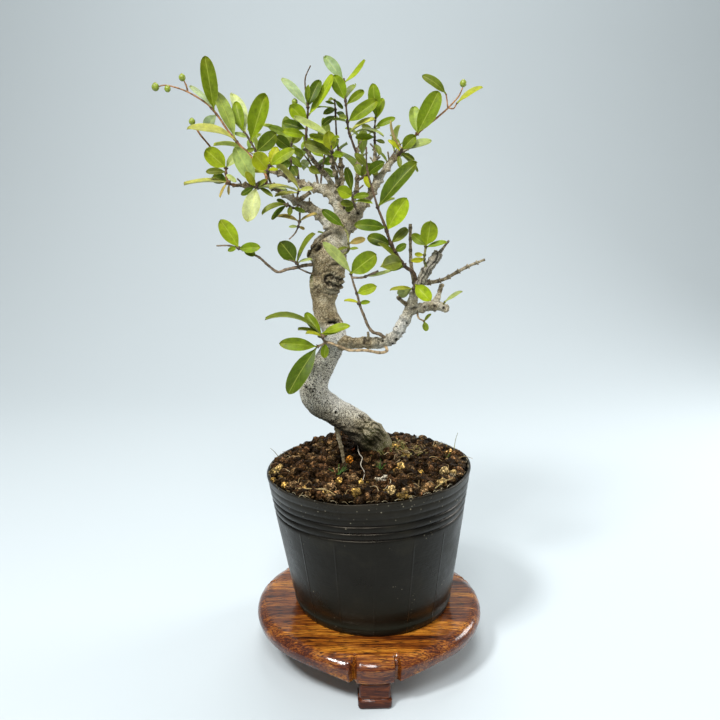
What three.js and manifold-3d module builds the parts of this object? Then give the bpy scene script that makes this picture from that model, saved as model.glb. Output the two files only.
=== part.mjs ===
// Border privet bonsai in a thin nursery pot, on a round wooden display stand.
// Millimetres, +Z up, seen from the front along +Y. Its box stands centred on the origin.
import * as THREE from 'three';
import { mergeVertices } from 'three/addons/utils/BufferGeometryUtils.js';
import Module from 'manifold-3d';

const wasm = await Module();
wasm.setup();

// Driving sizes of the stand
const STAND_TOP = 27; // height of the board's top face over the floor
const STAND_X = -2.15; // the stand's middle, left of the pot's
const BOARD_R = 59.5; // radius over the rounded nosing
const BOARD_THICK = 8;
const APRON_LOW = 14; // underside of the apron where a foot stands
const APRON_HALF = 38; // half the width over which an apron deepens
const CUSP_X = 10.5; // carved groove on each side of a foot
const FOOT_WIDTH = 16;
const FOOT_DEEP = 12;
const FOOT_IN = 1.5; // how far a foot stands in from the board's edge
const FOOT_ROUND = 3;
const FEET = 3;
const STAND_TURN = 2.3; // the front foot stands this many degrees to the right of the middle

// Driving sizes of the pot and its soil
const POT_HEIGHT = 74;
const POT_RIM_R = 52.5;
const POT_BASE_R = 40.9;
const POT_WALL = 1.4;
const POT_LEAN = -2.7; // the soft pot's rim stands this far left of its base
const RIM_TILT = 0.038; // and rises to the right, in mm per mm
const RIBS_UP = [54.4, 58.2, 62, 65.8, 69.6]; // grooves round the wall, over the pot's base
const RIB_PITCH = 3.8;
const RIB_DEEP = 0.8;
const DRAIN_HOLES = 6;
const DRAIN_R = 4;
const DRAIN_AT = 26;
const GAP = 0.3; // clearance between pieces that touch
const SOIL_BELOW_RIM = 0.8;
const MOUND = 5; // how far the soil rises towards the trunk
const MOUND_AT = [6, 16];
const MOUND_WIDE = 24;
const HOLLOW = 5; // and how far it sinks under the trunk's first bend
const HOLLOW_AT = [-11, 4];
const HOLLOW_WIDE = 8;
const GRAIN = 1.7; // relief of the soil's grains

// Driving sizes of the leaves
const BLADE_THICK = 0.62;
const SLENDER = 0.3; // a blade is at least this wide for its length
const SUNK = 0.4; // a blade's pointed root reaches this far past the middle of its stem
// Outlines of a blade as [part of its length, part of its half width], for blades up to a length
const OUTLINES = [
  { upTo: 8, at: [[0, 0], [0.3, 0.75], [0.75, 0.95], [1, 0]] },
  { upTo: 17, at: [[0, 0], [0.14, 0.28], [0.55, 1], [0.85, 0.7], [1, 0]] },
  { upTo: 99, at: [[0, 0], [0.13, 0.22], [0.38, 0.88], [0.66, 1], [0.88, 0.66], [1, 0]] },
];

// Line of sight to the plant: a point that is known as seen from the front slides along it
const EYE = [-7, -374, 236.6];

// The whole plant's box, measured once, so that it stands centred over the origin
const BOX_MIDDLE = [-24, -0.45];

// Limbs of old wood, from root to tip: [across, up, depth, radius], as seen in the front plane
const LIMBS = {
  trunk: [[4, 92, 18, 9.5], [3, 106, 16, 8.7], [0.5, 113.5, 13, 8.2], [-5, 119.5, 9, 7.8],
    [-12.3, 125.5, 6, 7.2], [-21, 130.5, 4, 7.2], [-28, 135.5, 2, 7.5], [-30.5, 141.5, 0, 7.3],
    [-28.5, 148.5, 0, 6.5], [-24.5, 156, 0, 5.9], [-21, 162.5, 0, 5.6], [-19.5, 168.5, 0, 5.6],
    [-20.7, 174, 0, 5.6], [-24, 180, 0, 5.8], [-25, 186, 0, 5.8], [-24.5, 191, 0, 7],
    [-24, 195.5, 0, 8], [-22.7, 200, 0, 7.9], [-22.3, 205, 0, 8.4], [-22.3, 210.5, 0, 9.2],
    [-20, 215.5, 0, 8.2], [-17, 220, 0, 5.6], [-14.5, 226, 0, 4.8]],
  left_low: [[-17, 219, 0, 4.2], [-21.5, 224, -1, 3.2], [-27, 228.7, -2, 2.7],
    [-33, 232.5, -3, 2.3], [-38, 234.8, -4, 1.9], [-43, 238, -5, 1.6], [-49, 241.5, -7, 1.4],
    [-55, 242.3, -8, 1.2], [-61, 242.2, -9, 1.1], [-68, 242.3, -10, 1]],
  left_high: [[-14.5, 225, 1, 4.2], [-17, 232, 2, 3.6], [-21, 238.5, 3, 3.1],
    [-26, 240.8, 4, 2.6], [-31, 241.5, 5, 2.1], [-37, 244, 6, 1.7], [-43, 247, 8, 1.4],
    [-49, 248.7, 9, 1.2], [-53, 250, 10, 1]],
  right_main: [[-14, 222, 0, 4.6], [-8.5, 230, -1, 3.5], [-3.5, 236, -2, 2.4],
    [0, 241, -3, 2], [3, 246.5, -4, 1.8], [7, 252, -5, 1.6], [11, 256, -6, 1.4],
    [15, 260, -7, 1.1], [17.5, 263, -7.5, 0.9]],
  centre: [[-12, 227, 2, 2.2], [-10.5, 234, 4, 1.6], [-8.7, 240, 5, 1.3], [-8.2, 248, 6, 1.1],
    [-8.2, 254, 6, 1], [-8.6, 260, 6, 0.9]],
  diagonal: [[-17, 236, 3, 2.1], [-22, 245, 0, 1.6], [-27, 251, -3, 1.4], [-31, 256.5, -5, 1.2],
    [-33, 261.5, -6, 1]],
  inner: [[-17, 236, 1, 1.9], [-17.5, 241, -3, 1.4], [-18.5, 247, -8, 1.2],
    [-20.3, 253, -11, 1.1], [-20, 256.5, -12, 0.9]],
  rear: [[-16, 234, 4, 1.9], [-15.7, 243, 9, 1.3], [-16, 252, 11, 1.1], [-17.3, 259, 11, 0.9]],
  upright: [[-1, 240, -2, 1.5], [0.5, 246, 1, 1.2], [0, 253, 4, 1], [0.3, 259.5, 5, 0.9]],
  lower_right: [[-18, 165.5, -1, 4.4], [-11, 165.2, -4, 3.1], [-5, 165.6, -5, 2.8],
    [1, 164.8, -6, 2.6], [6, 166.3, -7, 2.9], [10.5, 169, -8, 2.9], [13.5, 174, -9, 2.7],
    [16.5, 179.5, -9, 2.8], [18.5, 184, -9, 2.7], [19.5, 188, -9, 2.4], [20.7, 192, -9, 2.3],
    [23, 196.5, -10, 2.3], [26, 202, -11, 2.5], [29.5, 207, -12, 2.5], [31.5, 210.3, -13, 2.1]],
  knee_stub: [[18, 181, -9, 2], [24, 183.2, -8, 2.3], [30, 184.2, -7, 2.5], [34, 183.5, -6, 1.9],
    [36.8, 182.2, -6, 1.3]],
  knee_peg: [[30, 184.5, -7, 1.9], [32, 190, -6, 1.3], [33.3, 194.5, -5, 1]],
  bare_right: [[24, 195.5, -10, 1.4], [30, 196, -8, 0.9], [35, 197.5, -7, 0.8],
    [40, 200.3, -6, 0.8], [46, 203.5, -4, 0.7], [54, 206.8, -2, 0.55]],
  bare_upright: [[20.5, 193, -9, 1.2], [19, 199, -9, 1], [18, 205, -9, 0.85],
    [17.6, 213, -9, 0.75], [17.4, 224, -8, 0.8]],
  peg_left: [[18.5, 183.5, -9, 1.5], [14.5, 185.8, -10, 1], [11.5, 188.5, -11, 0.8]],
  torn_tip: [[31, 209, -12.5, 0.9], [34, 213, -13, 0.6], [36.3, 216, -12, 0.45]],
  cut_stub: [[-37, 235, -5, 1.2], [-34, 236.8, -6.5, 1.1], [-31, 239, -7.5, 1.1]],
  thorn: [[-5, 166, -6, 0.8], [-3, 168, -8, 0.7], [-3, 170.8, -9, 0.6]],
  surface_root: [[-19, 123, 5, 1.6], [-18, 116, 5, 1.1], [-16.5, 110, 6, 1], [-15.5, 104, 7, 0.9],
    [-15, 99, 7, 0.9]],
};

// Leafy shoots: the route of each stem and its side twigs, [across, up, depth], radius at root
// and tip, and leaves as [root across, root up, tip across, tip up, width seen, depth, arch]
const SHOOTS = {
  low_twig: {
    route: [[5, 165, -7], [6.5, 161.5, -11], [3, 160.3, -13], [-4, 161.5, -14],
      [-12, 161.5, -13], [-16, 163, -12], [-21, 165, -11], [-25, 166.5, -11], [-26, 170, -12]],
    thick: [1.1, 0.8],
    twigs: [[[-23, 165.8, -11], [-28.5, 163.4, -12]]],
    leaves: [[-28, 163.5, -47.5, 165, 6.5, -3, 0.12], [-28, 163.2, -43.5, 139, 9, -5, 0.1],
      [-26, 169, -54, 178, 2.4, -4, 0.17], [-25.5, 169.5, -34, 180.5, 5, 3],
      [-25.5, 170, -12, 174, 4, -4, 0.1], [-25.5, 169, -15.5, 172.3, 3, -8],
      [-26, 169, -38, 172.2, 1.6, 4], [-26, 168, -34, 170.3, 1.6, -8],
      [-24.5, 165.5, -25, 157.5, 4, -2]],
  },
  front_left_twig: {
    route: [[6.5, 167, -8], [3, 169.7, -10.5], [-0.5, 170.8, -12], [-3, 174, -13],
      [-5, 179, -14], [-7, 184, -15], [-8.2, 189, -16], [-10, 194.5, -17], [-11.5, 200, -18]],
    thick: [1.3, 0.7],
    twigs: [[[-11, 198, -17.5], [-6, 198, -19], [-2.5, 199.3, -20], [2, 201.3, -21]]],
    leaves: [[-12, 200, -25.5, 215, 5, -2, 0.08], [-11, 200, 1, 209.5, 9, -4, 0.04],
      [-8.3, 190, 1.2, 193.8, 5, -4, 0.06], [-7.5, 185.5, -14.8, 186.5, 1.6, 4],
      [-7.2, 185, -2, 186, 2.2, -3], [-4, 198.9, 9.5, 202, 1.8, 3, -0.04]],
  },
  front_right_twig: {
    route: [[21, 194, -9.5], [19.5, 200, -13], [14.5, 204, -15], [10, 211, -16.5],
      [7.5, 216, -17.5], [5.5, 222, -18.5], [3.5, 227, -19.5], [1.5, 232, -20],
      [-0.3, 238, -19.5], [-2, 243.5, -18], [-3.8, 251, -16], [-4, 260, -14]],
    thick: [1.3, 0.6],
    leaves: [[6.8, 220.5, 15.5, 236.3, 9, -4, 0.05], [5, 221.5, -10, 223.5, 5.5, -5, 0.16],
      [9, 213.5, -3.3, 217.8, 6, 4, 0.06], [9.3, 215, 16, 221.8, 4.5, 5],
      [10, 211.2, 15.6, 214.2, 3.5, -3], [13.8, 204.5, 1.5, 214.5, 3, -5],
      [12.8, 206.5, 3.3, 203.5, 7, -7], [15, 203.5, 8, 201.7, 3, -4],
      [2.2, 232, 20, 253.3, 7.5, -3, 0.06], [1.8, 231.5, 9.7, 236, 1.6, 5],
      [-3.8, 251, -9.5, 257, 3.5, -3]],
  },
  right_sprig: {
    route: [[26, 202, -11.5], [24.5, 206, -15], [24.7, 210, -16], [25.2, 213.5, -16]],
    thick: [0.9, 0.7],
    leaves: [[25.2, 213.5, 27.2, 225.6, 8, -3, 0.05], [25.2, 213.3, 18.3, 219, 4.5, 3],
      [25.2, 213, 35.3, 215.3, 2.6, -3, 0.05], [24.3, 207.5, 17.8, 206.2, 2.6, -5],
      [24.5, 208.7, 19.8, 209.4, 2.2, 2]],
  },
  knee_sprig: {
    route: [[20, 190, -9.5], [19.3, 192.3, -13], [20.3, 194.5, -15]],
    thick: [0.9, 0.7],
    leaves: [[19.3, 192.5, 7.8, 191.8, 2.2, -4, 0.08], [19.5, 193, 12, 189.8, 5, 1],
      [20.3, 194.5, 28, 186.5, 6.5, -5, 0.12]],
  },
  stub_leaf: {
    route: [[33.8, 184, -6], [35, 186, -8.5]],
    thick: [0.8, 0.6],
    leaves: [[35, 186, 43.5, 191.3, 2, -2, 0.04]],
  },
  under_sprig: {
    route: [[21.5, 182.5, -8.5], [22, 178.2, -10], [25, 176.3, -11]],
    thick: [0.8, 0.55],
    leaves: [[25, 176.3, 26.3, 171.3, 3, -1], [25, 176.5, 28.3, 180, 1.4, -3]],
  },
  low_left_twig: {
    route: [[-28, 204.5, -2], [-34, 204, -4], [-38, 203, -5], [-43, 202, -6], [-47.5, 200.8, -7],
      [-52, 204, -8], [-56.5, 208, -9], [-62, 210.5, -10], [-66, 212.3, -11], [-71, 213.6, -11.5],
      [-77, 213.5, -12]],
    thick: [1.3, 0.5],
    twigs: [[[-28, 199.8, -3], [-32, 200.3, -5], [-38, 203, -5]],
      [[-37, 203.2, -5], [-38.5, 205.5, -7], [-44.5, 207.3, -9]]],
    leaves: [[-66, 212.3, -74.7, 226, 7.5, -3, 0.04], [-65.5, 212.2, -55.5, 212.8, 5, -4],
      [-64, 211.5, -58.2, 209, 3.5, -7], [-67, 212.5, -71.5, 211, 2.4, -3],
      [-38.5, 205.3, -46, 215.5, 8.5, -2, 0.05], [-38, 205, -29, 219.5, 2.6, -5, 0.08],
      [-38, 204.7, -30.5, 206.8, 1.6, -5]],
  },
  fork_leaf: {
    route: [[-15.5, 209, -6], [-12.8, 211, -11], [-12.6, 214.5, -12], [-13, 219, -11.5],
      [-15, 222.8, -11]],
    thick: [0.8, 0.6],
    leaves: [[-14.8, 222.5, -25.3, 230.7, 4.5, -1, 0.06], [-12.6, 214.5, -4.5, 216.8, 3.2, 2],
      [-12.7, 212, -7.8, 212.2, 1.5, -3], [-12.8, 212.5, -18, 211.3, 1.5, -3]],
  },
  hanging_twig: {
    route: [[-35, 233, -4], [-36, 230, -8], [-36.2, 226, -9], [-37, 222.7, -9.5],
      [-38.6, 219.5, -10], [-41.5, 216.6, -10.5]],
    thick: [0.8, 0.45],
    leaves: [[-36.5, 224.8, -47.3, 227.8, 2.4, 3, 0.08], [-36.9, 223, -41.5, 222.6, 1.5, -3],
      [-36.3, 225.3, -27.8, 228.7, 1.5, -3], [-36.8, 223, -34, 221.5, 1.5, 2]],
  },
  left_under: {
    route: [[-36, 233.5, -4], [-38.5, 231.5, -8], [-41.5, 232.8, -10], [-44, 233.6, -11]],
    thick: [0.9, 0.6],
    leaves: [[-42.5, 233, -54.5, 228.8, 3, -4, 0.16], [-42, 232.8, -49.6, 226, 2.8, 2],
      [-40.5, 232.3, -41, 228, 2.6, -3], [-42, 233, -47, 235.5, 2, 4],
      [-39, 231.8, -33.5, 229.5, 2.2, -4]],
  },
  left_middle: {
    route: [[-55, 242.3, -8], [-56.3, 241.2, -12], [-57.3, 242, -15]],
    thick: [1, 0.8],
    leaves: [[-57.3, 242, -66.3, 260, 8, -2, 0.05], [-56.8, 241.3, -61.5, 225, 8, -4, 0.06],
      [-56, 241.2, -49, 236.8, 2.2, -2], [-56.3, 241.3, -42, 240, 2, -3],
      [-57, 241.7, -64, 237.8, 3, 3], [-57, 242, -61.5, 248.7, 3.5, -6],
      [-56, 241.5, -51.5, 244.8, 2.4, -6]],
  },
  left_pale: {
    route: [[-37.5, 235, -4.5], [-37, 238, -10], [-36.3, 240, -12]],
    thick: [0.8, 0.6],
    leaves: [[-36.5, 239.5, -50.5, 241.2, 2.4, -2], [-36.8, 238.5, -48, 237, 2.4, -4],
      [-36.3, 240, -47.8, 252.8, 2.8, -2], [-36.3, 240, -29.5, 241, 2.2, -1]],
  },
  left_yellow: {
    route: [[-49.2, 241.6, -7.4], [-50.7, 246, -12], [-51, 249.3, -15], [-50, 252, -16]],
    thick: [1, 0.8],
    leaves: [[-51, 249.5, -57.5, 257, 8, -3, 0.04], [-50.2, 251.5, -38.2, 259, 5, -3],
      [-50, 252, -46.3, 260, 4, 4], [-51, 249, -46, 249.2, 1.8, -4],
      [-51.3, 247.5, -61, 248.3, 2.4, -1], [-50.2, 251, -43.5, 250.5, 4.5, 6]],
  },
  left_tip: {
    route: [[-65, 242.2, -9], [-69.5, 243, -12], [-71, 246.5, -12], [-71, 250.3, -11]],
    thick: [1, 0.8],
    twigs: [[[-71, 250.3, -11], [-75, 256, -6], [-79.2, 261.5, -4], [-82.5, 265.5, -5],
      [-86, 271.3, -6]]],
    leaves: [[-70.5, 244, -91.5, 243, 2.6, -3, 0.05], [-70.2, 243.5, -77.5, 246.3, 5.5, 4],
      [-71, 248, -80.7, 248.5, 3.2, -3, 0.1], [-71.2, 250.5, -80.3, 259, 8, -2, 0.05],
      [-71, 250, -65, 257.5, 4, 3], [-71, 247.5, -66.3, 243.8, 2.4, -3],
      [-70, 243.2, -74.3, 236.5, 1.6, -2], [-69.5, 243, -70, 237.8, 1.4, 1]],
    berries: [[-86.2, 271.5, -6, 1.5]],
  },
  long_shoot: {
    route: [[-52, 242.2, -8], [-52, 247, -6], [-55, 251, -5], [-59.5, 256.3, -4],
      [-63.5, 260.3, -3], [-65.5, 262.5, -3], [-69.5, 267.5, -2], [-73.5, 273.5, -1],
      [-78, 278.8, 0], [-83, 282.3, 1], [-88, 285, 2], [-93, 286.8, 3], [-98, 287.8, 4],
      [-101.5, 287.2, 4]],
    thick: [1.2, 0.5],
    twigs: [[[-87.5, 284.7, 2], [-88.3, 288, 2], [-89.7, 290.8, 1.5]]],
    leaves: [[-76, 277, -79, 300.7, 7, -4, 0.06], [-66, 263, -74.5, 285, 6, 5, 0.06],
      [-65.5, 262.6, -88.8, 268.2, 5, -5, 0.14], [-76.5, 277.5, -86.8, 287.2, 3, 5],
      [-74, 274.3, -80, 268, 6, 6, 0.1]],
    berries: [[-102.6, 287, 4, 1.8], [-97, 286.2, 3.5, 1.5], [-89.9, 291.2, 1.5, 1.6]],
  },
  crown_left: {
    route: [[-50, 249, 9.2], [-54, 254, 6], [-57, 259, 4], [-59.5, 263.5, 3], [-62, 267, 3]],
    thick: [1.1, 0.7],
    leaves: [[-59, 262.8, -51.3, 284.3, 9, -3, 0.05], [-56, 258.5, -46.3, 266.5, 8, -5, 0.05],
      [-61.8, 267, -65.3, 280.5, 5.5, -3], [-61, 266, -67, 284, 6, 8, 0.08],
      [-60.5, 265, -77.2, 281.6, 4, -6, 0.05], [-60, 264, -66.5, 266.3, 2.2, -3],
      [-56.5, 258.5, -61, 258, 2.4, -6]],
  },
  crown_back_left: {
    route: [[-41, 246, 7.3], [-40, 253, 10], [-40, 259, 10], [-38.7, 264, 9]],
    thick: [1.1, 0.7],
    leaves: [[-40, 253, -46.8, 250.3, 5.5, -7], [-40, 259, -47.5, 264.8, 6, -6],
      [-39.5, 262, -34, 265.8, 4, -5], [-38.7, 264, -50.3, 269.3, 4, -6, 0.08],
      [-40, 256, -35, 250.5, 3, 5], [-40, 259, -34, 256, 4, 5], [-40, 252, -37, 246.5, 3.5, -3]],
  },
  top_left: {
    route: [[-32.3, 259.5, -5.7], [-32.5, 265, -7], [-32, 271, -7], [-31.5, 278, -7],
      [-32.4, 285, -7], [-32.5, 291, -6.5], [-30, 296.5, -6]],
    thick: [1, 0.45],
    leaves: [[-31.6, 277.5, -43.5, 291, 4.5, 3, 0.04], [-31.6, 277.5, -25.7, 290, 5, 4],
      [-31.8, 275, -20, 292.7, 5, -3, -0.06], [-32, 271.5, -40, 279, 7, -3, 0.05],
      [-32.3, 268, -43.2, 271.2, 4.6, 5], [-32.5, 265.5, -43.7, 267.2, 4, -5],
      [-32.4, 280, -31, 288, 2.6, -5]],
    berries: [[-37.6, 280.4, -5, 1.4]],
    stalks: [[[-31.8, 273, -7], [-35, 277.5, -5.5], [-37.5, 280.2, -5]]],
  },
  crown_front: {
    route: [[-20.1, 254.5, -11.5], [-20.3, 258, -15], [-20.8, 263.5, -17]],
    thick: [1, 0.8],
    leaves: [[-20.8, 263.5, -38.3, 273, 4, 1, 0.05], [-20.1, 256.5, -33.5, 261.8, 5.5, 4, 0.06],
      [-20.2, 257.5, -22, 267.5, 6, -4], [-20.2, 257, -15, 255.8, 3, -5],
      [-20.7, 262, -17, 264.5, 2.6, -3], [-20.5, 261, -31, 265.5, 3.4, -4]],
  },
  top_middle: {
    route: [[-17, 256.5, 11], [-18, 264, 9], [-18.4, 271, 8], [-18.6, 277, 7],
      [-19, 281.5, 6.5]],
    thick: [0.9, 0.55],
    leaves: [[-18.7, 279.3, -23.3, 280.5, 1.5, -2], [-18.9, 281, -21.8, 281.3, 2, 2],
      [-18.9, 281, -15, 277.3, 2, 2], [-18.6, 276.5, -24.3, 275, 3, -3, 0.2],
      [-18.5, 274, -24.8, 270, 3.5, 3], [-18.7, 277, -28, 277.8, 1.3, 5],
      [-18.5, 276, -14.3, 273.8, 3, 5]],
  },
  top_right: {
    route: [[-8.3, 256, 6], [-10.5, 262, 3.5], [-12.5, 268, 2], [-13.2, 275, 0.5],
      [-14, 283, 0], [-14.5, 291, 0]],
    thick: [1, 0.6],
    leaves: [[-13.7, 280, -19.3, 292.3, 6.5, -4, 0.05], [-14.4, 290, -23.5, 300.6, 5.5, 1],
      [-14.3, 288.5, -4.7, 299, 3, -2, -0.08], [-13.6, 279.3, -5.2, 285.4, 4, 4],
      [-12.9, 271.5, 1.2, 281.3, 6.5, -3, 0.08], [-11.8, 265.8, 0, 272.8, 2.8, -6],
      [-11.5, 265, 4.2, 265, 2, 1, 0.2], [-13.8, 281, -9.3, 287.5, 4, 6],
      [-13, 272, -20, 272.3, 1.6, 3], [-13.1, 274, -16.8, 273.7, 2.5, -4]],
  },
  top_far_right: {
    route: [[0.2, 257, 4.8], [0, 263, 5], [0, 269, 4], [0.5, 275, 3]],
    thick: [0.9, 0.6],
    leaves: [[0.4, 273.5, -1, 288.7, 6, -2], [0.3, 272.5, 3.8, 282, 4.5, 3],
      [0, 268.5, 9.7, 273.2, 3.4, -3, 0.1], [-0.2, 265, -9.2, 264.3, 3.6, -4, 0.06],
      [0, 263.5, 4.7, 262, 2, 3], [0, 266, -6, 270, 3, 6], [0, 262, 2.2, 256.5, 2.8, -3]],
  },
  right_knee: {
    route: [[10.5, 255.5, -6], [12.3, 257.3, -9.5], [13, 259.5, -11]],
    thick: [0.8, 0.6],
    leaves: [[12.8, 259, 19.3, 265.3, 5.5, 1, 0.1], [12.8, 258.5, 27, 262.7, 4, -3],
      [13, 259.3, 7.7, 272, 1.6, -3, -0.14], [12.5, 258, 6.3, 263.2, 2.2, 1],
      [12.2, 257.3, 19, 254, 2.2, 2], [12, 256.8, 20.5, 248.5, 2.6, 7],
      [11.5, 256.5, 12, 250.5, 2.4, -2]],
  },
  right_tip: {
    route: [[16.5, 262, -7.2], [20, 266, -8], [26, 270.7, -8], [31, 274.7, -8], [34.5, 277.8, -8],
      [39, 282.6, -7.5], [41, 286.7, -7]],
    thick: [0.95, 0.5],
    twigs: [[[34.3, 277.6, -8], [33.8, 281, -8], [33.3, 284, -8]],
      [[34.5, 277.7, -8], [37, 277.5, -9], [38.6, 280, -10]]],
    leaves: [[33.3, 284, 22, 292.2, 4.2, -1, 0.12], [38.6, 280, 50.2, 287.2, 3, -2, 0.06],
      [20.5, 266.4, 29.8, 285.2, 8.5, -3, 0.05], [20.2, 266.2, 18.3, 278.2, 5.5, 4]],
    berries: [[41.2, 288.6, -7, 1.6]],
  },
  fork_spray: {
    route: [[-8.5, 230, -2], [-9.5, 232.5, -8], [-10.3, 235.5, -10], [-11, 239, -11]],
    thick: [0.9, 0.7],
    leaves: [[-10.8, 237, -18, 240.5, 6.2, -4], [-10.2, 235, -1, 233.9, 2, -3],
      [-10.5, 236, -2.5, 237.8, 3, 2], [-11, 239, -13.6, 250.5, 4, 3],
      [-9.8, 233.5, -16.5, 234, 3.4, -2], [-9.5, 232.8, -14, 230.3, 3, 0]],
  },
  inner_right: {
    route: [[-8.4, 244, 5.5], [-5.5, 246, 1], [-2.5, 248.5, -3]],
    thick: [0.9, 0.6],
    leaves: [[-6, 245.8, -0.8, 252.5, 6, -6], [-3, 248, 4.5, 253, 5, -6],
      [-5.5, 246, -9.3, 252, 4, -5], [-4.5, 246.8, -2.5, 241.2, 3, -3], [-2.5, 248.5, 1.5, 248, 4, 3]],
  },
  inner_left: {
    route: [[-26, 241, 5], [-25.5, 246, 8], [-24.5, 252, 9], [-23.5, 258, 8]],
    thick: [0.9, 0.6],
    leaves: [[-25.3, 248, -31, 250.5, 4, 4], [-24.5, 252, -17.5, 256, 4.5, -5],
      [-24, 255, -30, 260.5, 5, 4], [-23.5, 258, -17, 263.5, 4.5, 2], [-25, 250, -19, 246, 3.5, -4],
      [-23.6, 257.5, -25.5, 267.5, 5, 3]],
  },
  back_left: {
    route: [[-44, 247, 8.2], [-49, 251, 17], [-55, 255, 27], [-60, 258, 36]],
    thick: [1.1, 0.6], pairs: 3, blade: 17,
  },
  back_left_inner: {
    route: [[-36.5, 243.7, 6], [-37, 250, 13], [-40, 257, 19], [-42, 264, 24]],
    thick: [1.1, 0.6], pairs: 3, blade: 15,
  },
  back_middle: {
    route: [[-27, 241, 4.5], [-28, 247, 16], [-31, 253, 28], [-35, 258, 39]],
    thick: [1.1, 0.6], pairs: 3, blade: 16,
  },
  back_high: {
    route: [[-15.8, 246, 10], [-19, 253, 19], [-22.5, 260, 27], [-25, 266, 34]],
    thick: [1, 0.6], pairs: 3, blade: 15,
  },
  back_right: {
    route: [[-9.3, 238, 4.8], [-8, 246, 15], [-6, 254, 24], [-5.5, 262, 31]],
    thick: [1.1, 0.6], pairs: 3, blade: 16,
  },
  back_far_right: {
    route: [[3.5, 247.5, -4], [5.5, 252, 5], [9, 257, 14], [12, 261, 22]],
    thick: [0.9, 0.5], pairs: 3, blade: 12,
  },
  back_trunk: {
    route: [[-21, 209, 5], [-20, 214, 15], [-19, 220, 24], [-18, 224, 31]],
    thick: [1, 0.5], pairs: 3, blade: 11,
  },
};

// Knots and burls on the wood: [across, up, depth, radius]
const KNOTS = [[-20, 198, -4.5, 4], [-1.5, 119.5, 4, 5.2], [-30, 209, -3, 3], [-24.5, 215, -3, 4],
  [1, 166, -7, 2.4], [-24, 165, -5.5, 1.6]];

// Seeded draws, so that every run grows the same plant
function draws(seed) {
  let state = seed;
  return () => {
    state = (state * 16807) % 2147483647;
    return state / 2147483647;
  };
}

// Slides a point, known as seen in the front plane, along the line of sight to its depth
function place([across, up, depth]) {
  const slide = 1 - depth / EYE[1];
  return new THREE.Vector3(EYE[0] + (across - EYE[0]) * slide, depth, EYE[2] + (up - EYE[2]) * slide);
}

// A smooth run through a route, with every number of its points carried along
function smooth(route, steps) {
  const beyond = (end, next) => end.map((value, k) => 2 * value - next[k]);
  const all = [beyond(route[0], route[1]), ...route, beyond(route.at(-1), route.at(-2))];
  const run = [];
  for (let i = 1; i < all.length - 2; i += 1) {
    for (let j = 0; j < steps; j += 1) {
      const t = j / steps;
      run.push(all[i].map((b, k) => {
        const [a, c, d] = [all[i - 1][k], all[i + 1][k], all[i + 2][k]];
        return b + 0.5 * t * (c - a + t * (2 * a - 5 * b + 4 * c - d + t * (3 * (b - c) + d - a)));
      }));
    }
  }
  run.push(route.at(-1));
  return run;
}

// Gives each point of a stem's route its radius, from root to tip
function taper(route, [root, tip]) {
  return route.map((point, i) => [...point, root + (tip - root) * (i / (route.length - 1))]);
}

// Directions along a run of points, with two more across it that don't twist
function frames(points) {
  const last = points.length - 1;
  const along = points.map((_, i) => new THREE.Vector3()
    .subVectors(points[Math.min(i + 1, last)], points[Math.max(i - 1, 0)]).normalize());
  let side = new THREE.Vector3(1, 0.2, 0.1);
  return along.map((ahead) => {
    side = side.clone().addScaledVector(ahead, -side.dot(ahead)).normalize();
    return { ahead, side, across: new THREE.Vector3().crossVectors(ahead, side) };
  });
}

// A solid from a closed geometry, ready to be joined or cut
function solid(geometry) {
  geometry.deleteAttribute('normal');
  geometry.deleteAttribute('uv');
  const merged = mergeVertices(geometry);
  return new wasm.Manifold(new wasm.Mesh({
    numProp: 3,
    vertProperties: new Float32Array(merged.attributes.position.array),
    triVerts: new Uint32Array(merged.index.array),
  }));
}

// Moves every point of a geometry by a rule
function shape(geometry, rule) {
  const at = geometry.attributes.position;
  const point = new THREE.Vector3();
  for (let i = 0; i < at.count; i += 1) {
    point.fromBufferAttribute(at, i);
    const moved = rule(point);
    at.setXYZ(i, moved.x, moved.y, moved.z);
  }
  return geometry;
}

// A tapered limb along a run of [across, up, depth, radius], made wider by extra
function limb(run, sides, extra = 0) {
  const points = run.map(place);
  const turns = frames(points);
  const geometry = new THREE.CylinderGeometry(1, 1, 1, sides, run.length - 1);
  return solid(shape(geometry, ({ x, y, z }) => {
    const i = Math.round((0.5 - y) * (run.length - 1));
    const radius = run[i][3] + extra;
    return points[i].clone()
      .addScaledVector(turns[i].side, -x * radius)
      .addScaledVector(turns[i].across, -z * radius);
  }));
}

function join(solids) {
  return solids.reduce((whole, piece) => whole.add(piece));
}

// The largest single body of a solid, without the scraps that a cut leaves
function mainBody(whole) {
  return whole.decompose().sort((a, b) => b.volume() - a.volume())[0];
}

function ball([across, up, depth, radius]) {
  const geometry = new THREE.SphereGeometry(radius, 8, 5);
  const middle = place([across, up, depth]);
  geometry.translate(middle.x, middle.y, middle.z);
  return solid(geometry);
}

// Old wood: the trunk with its limbs, stubs and knots, made wider by extra
function wood(extra) {
  const limbs = Object.values(LIMBS).map((route) => {
    const thick = route[0][3];
    return limb(route, thick > 5 ? 10 : thick > 2 ? 5 : 4, extra);
  });
  const knots = KNOTS.map(([across, up, depth, radius]) => ball([across, up, depth, radius + extra]));
  return join([...limbs, ...knots]);
}

// Points that the plant already holds, kept as x, y, z, reach, node and place along the leaf
const held = [];

function hold(point, reach, node, along) {
  held.push([point.x, point.y, point.z, reach, node, along]);
}

function holdRun(route, node) {
  smooth(route, 4).forEach((sample) => hold(place(sample), sample[3] + 1.3, node, -1));
}

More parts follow.
